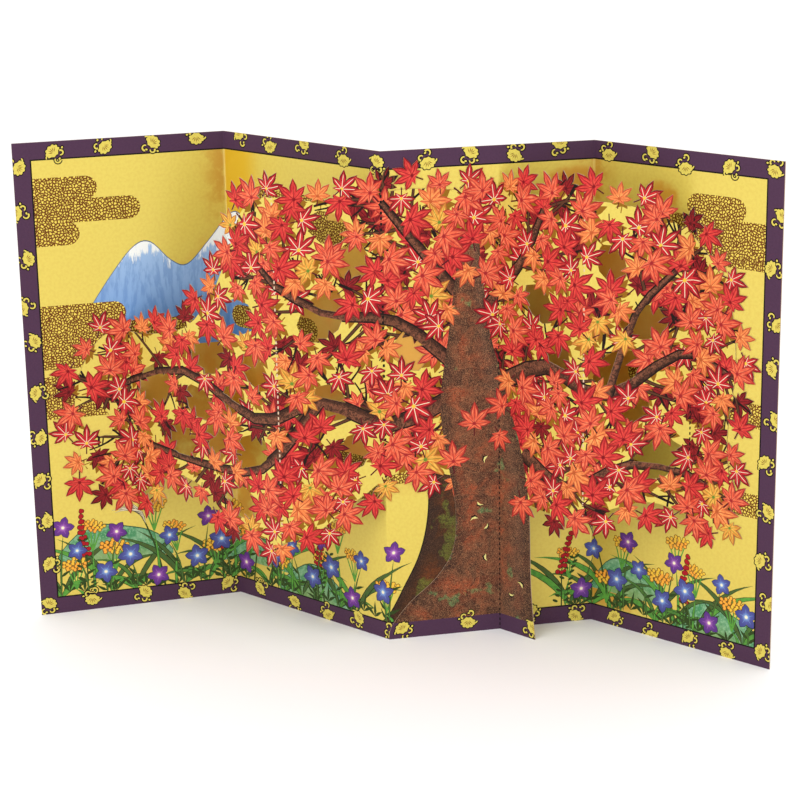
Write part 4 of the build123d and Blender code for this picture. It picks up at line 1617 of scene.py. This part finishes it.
def lay_sprigs(drawing, screen):
    """Dark sprigs of three short blades at the ground."""
    ground = screen.long_border
    for count, foot in garden_spots(screen, screen.sprig_pitch, 121, ground, ground + 2):
        for j in range(3):
            bearing = 0.7 * (j - 1) + 0.5 * (even(count, 122) - 0.5)
            line = bent_line(foot, bearing, ranged(*SPRIG_RANGE, count + j, 123), 0.5 * (j - 1), 3)
            drawing.lay(blade(line, 1.2), "sprig_print")


def lay_back_trunk(drawing):
    """The trunk printed on the screen, beside the cut one."""
    left = smooth_line(BACK_TRUNK, 4)
    right = [(u + BACK_TRUNK_WIDTH, v) for u, v in left]
    for grow, ink in ((0.45, "line_print"), (0.0, "back_trunk_print")):
        edge = [(u - grow, v) for u, v in left]
        drawing.lay(edge + right[::-1], ink, band_frame(edge, right))


def lay_mounds(drawing):
    """Rounded mounds at the foot."""
    for middle, half, foot, rise in MOUNDS:
        line = [(middle + half * x, foot + rise * (1 - x * x) ** 0.8 * (1 + 0.1 * math.sin(4 * x + middle)))
                for x in (k / 8 for k in range(-8, 9))]
        line[0], line[-1] = (middle - half, foot + 0.2), (middle + half, foot + 0.2)
        lay_ridge(drawing, line, foot - MOUND_SKIRT, "mound_print")


def draw_screen(screen, repeats):
    """The flat drawing of the screen card."""
    drawing = Drawing()
    w = 2 * screen.panel_width
    drawing.lay(rectangle(-w, 0, w, screen.panel_height), "foil_print")
    lay_sky(drawing)
    lay_mounds(drawing)
    lay_blades(drawing, screen)
    lay_plumes(drawing, screen)
    lay_sprigs(drawing, screen)
    lay_back_trunk(drawing)
    lay_clusters(drawing, screen, repeats)
    lay_spikes(drawing, screen, repeats)
    lay_stars(drawing, screen, repeats)
    lay_border(drawing, screen, repeats)
    return drawing


# Finishes

class Finish(Nodes):
    """A material made of nodes, with its shader, its maps and what is painted on it so far."""

    def __init__(self, name, base=None):
        self.material = bpy.data.materials.new(name)
        self.material.use_nodes = True
        super().__init__(self.material.node_tree)
        self.shader = self.tree.nodes["Principled BSDF"]
        self.painted = base

    def pair(self, name):
        """The two numbers of one of the sheet's maps."""
        split = self.node("ShaderNodeSeparateXYZ", {}, {0: self.map(name)}).socket.node
        return Value(self, split.outputs["X"]), Value(self, split.outputs["Y"])

    def map(self, name):
        return self.node("ShaderNodeUVMap", {"uv_map": name})

    def noise(self, scale, detail=2.0, roughness=0.5, vector=None, distortion=0.0, output=0):
        return self.node("ShaderNodeTexNoise", {"noise_dimensions": "2D"},
                         {"Vector": vector or self.map(FLAT_MAP), "Scale": scale, "Detail": detail,
                          "Roughness": roughness, "Distortion": distortion}, output)

    def vector_math(self, operation, inputs):
        return self.node("ShaderNodeVectorMath", {"operation": operation}, inputs)

    def ramp(self, value, low, high, to_low=0.0, to_high=1.0):
        return self.node("ShaderNodeMapRange", {"interpolation_type": "SMOOTHSTEP"},
                         {"Value": value, "From Min": low, "From Max": high,
                          "To Min": to_low, "To Max": to_high})

    def mix(self, share, first, second):
        """Mixes two tints, each a hex code, a colour or an output of a node."""
        first, second = (x if isinstance(x, Value) else linear(x) if isinstance(x, str) else tuple(x)
                         for x in (first, second))
        return self.node("ShaderNodeMix", {"data_type": "RGBA"}, {0: share, 6: first, 7: second}, output=2)

    def paint(self, share, tint):
        """Lays a share of a tint over what is painted so far."""
        self.painted = self.mix(share, self.painted, tint)

    def surface(self, roughness=0.45, bump=None, **constants):
        """Feeds the shader with the paint. What varies is a Value, the rest is set on the sockets."""
        constants = constants or {"Specular_IOR_Level": DULL}
        self.tree.links.new(self.painted.socket, self.shader.inputs["Base Color"])
        if isinstance(roughness, Value):
            self.tree.links.new(roughness.socket, self.shader.inputs["Roughness"])
        else:
            constants["Roughness"] = roughness
        for key, value in constants.items():
            self.shader.inputs[key.replace("_", " ")].default_value = value
        if bump is not None:
            raised = self.node("ShaderNodeBump", {}, {"Strength": 1.0, "Distance": MM, "Height": bump})
            self.tree.links.new(raised.socket, self.shader.inputs["Normal"])
        return self.material


def paint_reflections(f, along, up, fold):
    """Painted reflections in the foil: the folds' shade, a deep yellow strip past fold one, a pale highlight
    on the creases, the leaves of the canopy, and smaller patches.
    """
    from_fold = abs(abs(along) - fold)
    # Painted reflection of the folds' shade: darker in streaks near folds one and three, at the top and the
    # bottom
    outer = f.ramp(up, 118.0, 160.0) + f.ramp(up, 34.0, 8.0)
    streaks = f.ramp(f.noise(0.16, 4.0, 0.65), 0.36, 0.62, 0.25, 1.0)
    f.paint(f.ramp(from_fold, 12.0, 1.0) * outer * streaks * 0.75, "c48a28")
    # Painted reflection: a deep yellow strip just right of fold one, at the top
    past_fold = along + fold
    strip = f.ramp(past_fold, 20.0, 9.0) * f.ramp(past_fold, 0.0, 0.5) * f.ramp(up, 108.0, 150.0)
    f.paint(strip * 0.9, "d8ac14")
    # Painted highlight: a pale line along the creases of folds one and three
    f.paint(f.ramp(from_fold, 0.75, 0.25) * 0.45, "ecd67a")
    uneven = (f.noise(0.16, 3.0, 0.6) - 0.5) * 1.6

    def reach(middle, height, half, rise):
        return ((along - middle) / half).math("POWER", 2.0) + ((up - height) / rise).math("POWER", 2.0)

    patch = f.ramp(f.noise(0.055, 2.0, 0.5), 0.34, 0.58, 0.55, 1.0)
    # Lit and shaded copies of the painted leaf reflection: darker brown on panels one and three, brighter
    # orange on panels two and four, which turn away from the light
    turned_away = f.ramp((along / (2 * fold)).math("FRACT"), 0.49, 0.51)
    leaves = f.mix(turned_away, "c98a2e", "e69a30")
    # Painted reflections of the leaves: over the whole canopy, then in the smaller patches
    f.paint(f.ramp(reach(*CANOPY_REFLECTION) + uneven * 0.2, 1.05, 0.65) * patch * 0.85, leaves)
    for glow in REFLECTION_PATCHES:
        f.paint(f.ramp(reach(*glow) + uneven, 1.1, 0.1) * 0.8, "cc8c22")


def foil_finish(inks, name, roughness, wave, fold):
    """Gold foil with fine grain and soft waves. Where it has folds, painted reflections show what stands
    before it.
    """
    f = Finish(name, inks.foil)
    along, up = f.pair(FLAT_MAP)
    grain = f.noise(6.0, 2.0)
    f.paint(f.ramp(f.noise(0.9, 3.0), 0.35, 0.7, 0.0, 0.12), "b8841e")
    if fold:
        paint_reflections(f, along, up, fold)
    return f.surface(roughness + 0.06 * grain, grain * 0.004 + f.noise(0.045, 1.0) * wave, Metallic=0.25)


def leaf_finish(inks):
    """Painted leaves of several kinds, with a vein in each lobe, ribs and darker edges."""
    f = Finish("leaf_print")
    aside, ahead = f.pair(OWN_MAP)
    kind, chance = f.pair(TONE_MAP)
    radius = (aside * aside + ahead * ahead).math("SQRT")
    bearing = aside.math("ARCTAN2", ahead)
    lobe = (bearing / math.radians(LOBE_TURN)).math("ROUND").math("MAXIMUM", -SIDE_LOBES)
    lobe = lobe.math("MINIMUM", SIDE_LOBES)
    off = bearing - lobe * math.radians(LOBE_TURN)
    along = radius * off.math("COSINE")
    across = radius * off.math("SINE")
    width = abs(across)
    share = along / (1 - LOBE_SHORTENING * (lobe * lobe))
    part = width / f.ramp(share, 1.0, 0.45, 0.012, LOBE_HALF_WIDTH)
    brush = f.node("ShaderNodeCombineXYZ", {}, {
        "X": across * 26.0 + chance * 90.0, "Y": along * 3.0 + lobe * 7.0})
    ribs = ((along - width * 1.3) * 8.0).math("FRACT")

    def by_kind(tints):
        stops = [(k / len(KINDS), tint) for k, tint in enumerate(tints)]
        return f.node("ShaderNodeValToRGB", {"stops": stops}, {0: kind})

    _, *columns = zip(*KINDS.values())
    veins, edges, lights, hearts = (by_kind([linear(code) for code in column]) for column in columns)
    f.painted = by_kind([tuple(getattr(inks, name)) for name in KINDS])
    f.paint(f.ramp(f.noise(0.30, 4.0, 0.6), 0.3, 0.75, 0.0, 0.45), edges)
    f.paint(f.ramp(f.noise(1.0, 2.0, 0.5, vector=brush), 0.44, 0.64, 0.0, 0.85), lights)
    f.paint(f.ramp(share, 0.55, 0.95) * 0.5, edges)
    f.paint(f.ramp(part, 0.50, 0.88) * 0.9, edges)
    f.paint(f.ramp(abs(ribs - 0.5), 0.12, 0.03) * f.ramp(part, 0.85, 0.25, 0.0, 0.7) * 0.35, edges)
    f.paint(f.ramp(width, 0.020, 0.006) * f.ramp(share, 0.80, 0.62) * 0.95, veins)
    f.paint(f.ramp(radius, 0.10, 0.05), hearts)
    f.paint(f.ramp(ahead, -0.17, -0.23) * f.ramp(abs(aside), 0.07, 0.05), "54141a")
    return f.surface(0.42)


def bark_finish(name, base, warm, moss, moss_from, spread):
    """Mottled bark: warm and dark patches, dark sides, scratches and moss."""
    f = Finish(name, base)
    across, _ = f.pair(OWN_MAP)
    fleck = f.noise(0.95, 6.0, 0.8, distortion=1.6)
    f.paint(f.ramp(f.noise(0.085, 5.0, 0.6), 0.46, 0.66, 0.0, 0.85), warm)
    f.paint(f.ramp(f.noise(0.13, 3.0, 0.6, distortion=0.6), 0.44, 0.60, 0.0, 0.65), "36271f")
    f.paint(f.ramp(across, 0.1, 0.75, 0.0, 0.6), "57463a")
    f.paint(f.ramp(abs(across), 0.6, 1.0, 0.0, 0.8), "2a1f1a")
    mossy = f.ramp(f.noise(0.104, 3.0, 0.55), moss_from, moss_from + 0.08, 0.0, 0.7)
    f.paint(mossy * f.ramp(fleck, 0.66, 0.5), moss)
    f.paint(f.ramp(fleck, 0.44, 0.58, 0.0, 0.75), "2a1c16")
    f.paint(f.ramp(f.noise(1.5, 2.0, 0.5, distortion=3.0), 0.56, 0.64, 0.0, spread), "d09468")
    return f.surface(0.5)


def limb_finish():
    """Limbs: brown with a dark lower side and darker flecks."""
    f = Finish("limb_print", "84503a")
    across, _ = f.pair(OWN_MAP)
    f.paint(f.ramp(f.noise(0.9, 5.0, 0.7, distortion=1.0), 0.38, 0.60), "40271c")
    f.paint(f.ramp(across, 0.0, 0.8, 0.0, 0.75), "24160f")
    return f.surface(0.5)


def mist_finish(inks):
    """Bands of mist: fine curled grains of gold on a dark ground."""
    f = Finish("mist_print", inks.mist)
    wander = f.noise(1.3, 1.0, output="Color")
    middled = f.vector_math("SUBTRACT", {0: wander, 1: (0.5, 0.5, 0.5)})
    drift = f.vector_math("SCALE", {0: middled, "Scale": 0.55})
    where = f.vector_math("ADD", {0: f.map(FLAT_MAP), 1: drift})
    edge, middle = (f.node("ShaderNodeTexVoronoi", {"voronoi_dimensions": "2D", "feature": feature},
                           {"Vector": where, "Scale": 0.98}) for feature in ("DISTANCE_TO_EDGE", "F1"))
    f.paint(f.ramp(edge, 0.17, 0.26) * f.ramp(abs(middle - 0.30), 0.01, 0.06, 0.35, 1.0), "f0d65c")
    return f.surface(0.42)


def hill_finish(inks):
    """Far hills: blue washes that run down, and snow with ragged edges on the tops."""
    f = Finish("hill_print", inks.hill)
    along, below = f.pair(OWN_MAP)
    _, up = f.pair(FLAT_MAP)
    down = f.node("ShaderNodeCombineXYZ", {}, {"X": along, "Y": below * 0.22})
    streak = f.noise(0.45, 4.0, 0.65, vector=down)
    f.paint(f.ramp(up, 98.0, 138.0, 0.0, 0.75), "a9c4e2")
    f.paint(f.ramp(streak, 0.42, 0.62, 0.0, 0.35), "3c6cac")
    f.paint(f.ramp(up + streak * 22.0, 142.0, 145.5), "eceeea")
    f.paint(f.ramp(below, 0.5, 0.25), "3c5878")
    return f.surface()


def mound_finish(inks):
    """Mounds: mottled green, more olive below, with a dark line along the top."""
    f = Finish("mound_print", inks.mound)
    _, below = f.pair(OWN_MAP)
    f.paint(f.ramp(f.noise(0.22, 5.0, 0.65), 0.38, 0.62), "4a8a5c")
    f.paint(f.ramp(f.noise(0.9, 4.0, 0.7), 0.5, 0.66, 0.0, 0.6), "9cc69c")
    f.paint(f.ramp(below, 4.0, 13.0, 0.0, 0.6), "8a9f58")
    f.paint(f.ramp(below, 0.6, 0.3, 0.0, 0.85), "24422c")
    return f.surface()


def star_finish(inks):
    """Star flowers: a pale glow in the middle, a light line in each point, pale stamens."""
    f = Finish("star_print")
    aside, ahead = f.pair(OWN_MAP)
    kind, chance = f.pair(TONE_MAP)
    radius = (aside * aside + ahead * ahead).math("SQRT")
    turn = aside.math("ARCTAN2", ahead) * (5 / (2 * math.pi))
    ray = abs((turn + 0.5).math("FRACT") - 0.5)
    glow = f.mix(kind.math("ROUND"), "86aee4", "b878c4")
    f.painted = f.mix(kind.math("ROUND"), inks.star, inks.violet)
    f.paint(chance * 0.25, "42478a")
    f.paint(f.ramp(ray, 0.5, 0.38, 0.0, 0.4) * f.ramp(radius, 0.3, 0.9), "2a2668")
    f.paint(f.ramp(radius, 0.46, 0.10, 0.0, 0.75), glow)
    f.paint(f.ramp(ray * radius, 0.020, 0.008) * f.ramp(radius, 0.75, 0.5, 0.0, 0.6), glow)
    f.paint(f.ramp(abs(ray - 0.25) * radius, 0.030, 0.012) * f.ramp(radius, 0.20, 0.13), "f4ecc4")
    return f.surface()


def plant_finish(inks):
    """Blades and stems between bright and dark green."""
    f = Finish("plant_print", inks.green)
    kind, _ = f.pair(TONE_MAP)
    f.paint(f.ramp(kind, 0.2, 0.75), "4a5a2c")
    f.paint(f.ramp(f.noise(0.7, 3.0, 0.6), 0.4, 0.65, 0.0, 0.5), "386e38")
    return f.surface()


def floret_finish(inks):
    """Florets from orange to yellow."""
    f = Finish("floret_print", inks.cluster)
    _, chance = f.pair(TONE_MAP)
    f.paint(f.ramp(chance, 0.2, 0.9), "e9bd3e")
    return f.surface()


def flat_ink(name, tint):
    """An ink of one hue with the faint unevenness of print."""
    f = Finish(name, tint)
    f.paint(f.noise(1.4, 3.0), [x * INK_SHADE for x in tint])
    return f.surface(0.5)


def paper_finish(name, tint):
    """Bare board with its fibres."""
    f = Finish(name, tint)
    fibre = f.noise(3.0, 5.0, 0.65)
    f.paint(f.ramp(fibre, 0.3, 0.7), [x * FIBRE_SHADE for x in tint])
    return f.surface(0.75, fibre * 0.01, Specular_IOR_Level=0.2)


def make_finishes(inks, fold):
    """Every finish of the card by its name."""
    made = [
        foil_finish(inks, "foil_print", 0.28, 0.05, fold),
        foil_finish(inks, "gold_print", 0.34, 0.04, 0.0),
        leaf_finish(inks),
        bark_finish("bark_print", inks.bark, "a04a2b", "5a8a54", 0.65, 0.5),
        bark_finish("back_trunk_print", "4a2b16", "6c381a", "66702a", 0.54, 0.12),
        limb_finish(),
        paper_finish("card_back", inks.paper),
        paper_finish("card_edge", inks.cut),
    ]
    painters = (mist_finish, hill_finish, mound_finish, star_finish, plant_finish, floret_finish)
    made += [painter(inks) for painter in painters]
    for key in ("border", "sprig", "berry", "plume", "blossom"):
        made.append(flat_ink(key + "_print", getattr(inks, key)))
    made.append(flat_ink("line_print", inks.outline))
    made += [flat_ink(name, linear(code)) for name, code in PLAIN_INKS.items()]
    return {material.name: material for material in made}


# Operators

def card_sizes(context):
    """The sizes of both sheets in millimetres, and the middle of their plan."""
    screen = in_millimetres(context.scene.screen_sizes)
    tree = in_millimetres(context.scene.tree_sizes)
    return screen, tree, footprint_middle(screen, tree)


def finishes_of(context):
    """The card's finishes, made once."""
    made = {m.name: m for m in bpy.data.materials}
    fold = context.scene.screen_sizes.panel_width / MM
    return made if "leaf_print" in made else make_finishes(context.scene.ink_colours, fold)


def repeats_of():
    """The geometry trees that lay out what repeats, made once."""
    names = {"points": "stamp_at_points", "path": "stamp_along_path"}
    return {key: bpy.data.node_groups.get(name) or repeat_tree(name, key == "path")
            for key, name in names.items()}


class CARD_OT_screen(bpy.types.Operator):
    """Make the printed screen card with its four panels"""
    bl_idname = "card.screen"
    bl_label = "Screen card"

    def execute(self, context):
        screen, _, middle = card_sizes(context)
        path = FoldedPath(screen_path(screen), -2 * screen.panel_width, screen.card_thickness, 0.0,
                          screen.bend_radius, middle)
        drawing = draw_screen(screen, repeats_of())
        piece = folded_sheet("screen_print", drawing, path, screen.panel_height, 0.0, finishes_of(context))
        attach(piece, BODY)
        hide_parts("folding_screen")
        return {"FINISHED"}


class CARD_OT_tree(bpy.types.Operator):
    """Make the die-cut tree sheet in front of the screen"""
    bl_idname = "card.tree"
    bl_label = "Tree sheet"

    def execute(self, context):
        screen, tree, middle = card_sizes(context)
        corners = tree_path(screen, tree)
        to_trunk = sum(math.dist(a, b) for a, b in zip(corners[:3], corners[1:4]))
        path = FoldedPath(corners, -to_trunk, 0.0, tree.sheet_thickness, tree.bend_radius, middle)
        drawing = draw_tree(screen, tree, path.folds, repeats_of())
        piece = folded_sheet("tree_print", drawing, path, screen.panel_height, tree.smallest_opening,
                             finishes_of(context))
        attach(piece, BODY)
        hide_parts("tree_sheet")
        return {"FINISHED"}


def area_light(name, power, side, place, target):
    """A square soft light that looks at a target."""
    data = bpy.data.lights.new(name, "AREA")
    data.energy = power
    data.size = side
    lamp = placed(name, data)
    lamp.location = place
    lamp.rotation_euler = (Vector(target) - Vector(place)).to_track_quat("-Z", "Y").to_euler()


def pale_floor():
    """A wide floor with a faint cloud in its white."""
    corners = rectangle(-FLOOR_REACH, -FLOOR_REACH, FLOOR_REACH, FLOOR_REACH)
    floor = placed("floor", flat_mesh("floor", corners, faces=[(0, 1, 2, 3)]))
    f = Finish("floor_paint", (0.95, 0.95, 0.95))
    where = f.node("ShaderNodeTexCoord", output="Object")
    f.paint(f.node("ShaderNodeTexNoise", {}, {"Vector": where, "Scale": 3.0}), (0.93, 0.93, 0.93))
    floor.data.materials.append(f.surface(0.7, Specular_IOR_Level=0.2))
    return floor


def card_camera(scene, stage):
    data = bpy.data.cameras.new("camera")
    data.lens = stage.camera_lens
    data.sensor_width = SENSOR_WIDTH
    camera = placed("camera", data)
    camera.location = stage.camera_place
    turn = Euler((math.pi / 2 - stage.camera_pitch, 0.0, 0.0)).to_matrix()
    camera.rotation_euler = (turn @ Matrix.Rotation(stage.camera_roll, 3, "Z")).to_euler()
    scene.camera = camera


class CARD_OT_stage(bpy.types.Operator):
    """Make the pale floor, the studio light and the camera"""
    bl_idname = "card.stage"
    bl_label = "Stage"

    def execute(self, context):
        stage = context.scene.stage_sizes
        scene = context.scene
        scene.view_settings.view_transform = "Standard"
        pale_floor()
        world = bpy.data.worlds.new("room")
        world.use_nodes = True
        back = world.node_tree.nodes["Background"]
        back.inputs["Color"].default_value = (1.0, 1.0, 1.0, 1.0)
        back.inputs["Strength"].default_value = stage.air_light
        scene.world = world
        low, high = CAD_BOX
        heart = (low + high) / 2
        area_light("key", stage.key_power, KEY_SIDE, KEY_PLACE, heart)
        area_light("fill", stage.fill_power, FILL_SIDE, FILL_PLACE, heart)
        card_camera(scene, stage)
        return {"FINISHED"}


class CARD_PT_panel(bpy.types.Panel):
    """The card's pieces and its stage"""
    bl_idname = "CARD_PT_panel"
    bl_label = "Folding screen card"
    bl_space_type = "VIEW_3D"
    bl_region_type = "UI"
    bl_category = "Card"

    def draw(self, context):
        for operator in OPERATORS:
            self.layout.operator(operator.bl_idname)


GROUPS = {"screen_sizes": ScreenSizes, "tree_sizes": TreeSizes, "ink_colours": InkColours,
          "stage_sizes": StageSizes}
OPERATORS = (CARD_OT_stage, CARD_OT_screen, CARD_OT_tree)
CLASSES = (*GROUPS.values(), *OPERATORS, CARD_PT_panel)


def register():
    for kind in CLASSES:
        bpy.utils.register_class(kind)
    for name, group in GROUPS.items():
        setattr(bpy.types.Scene, name, bpy.props.PointerProperty(type=group))


def unregister():
    for name in GROUPS:
        delattr(bpy.types.Scene, name)
    for kind in reversed(CLASSES):
        bpy.utils.unregister_class(kind)


def main():
    register()
    bpy.ops.card.stage()
    bpy.ops.card.screen()
    bpy.ops.card.tree()


if __name__ == "__main__":
    main()
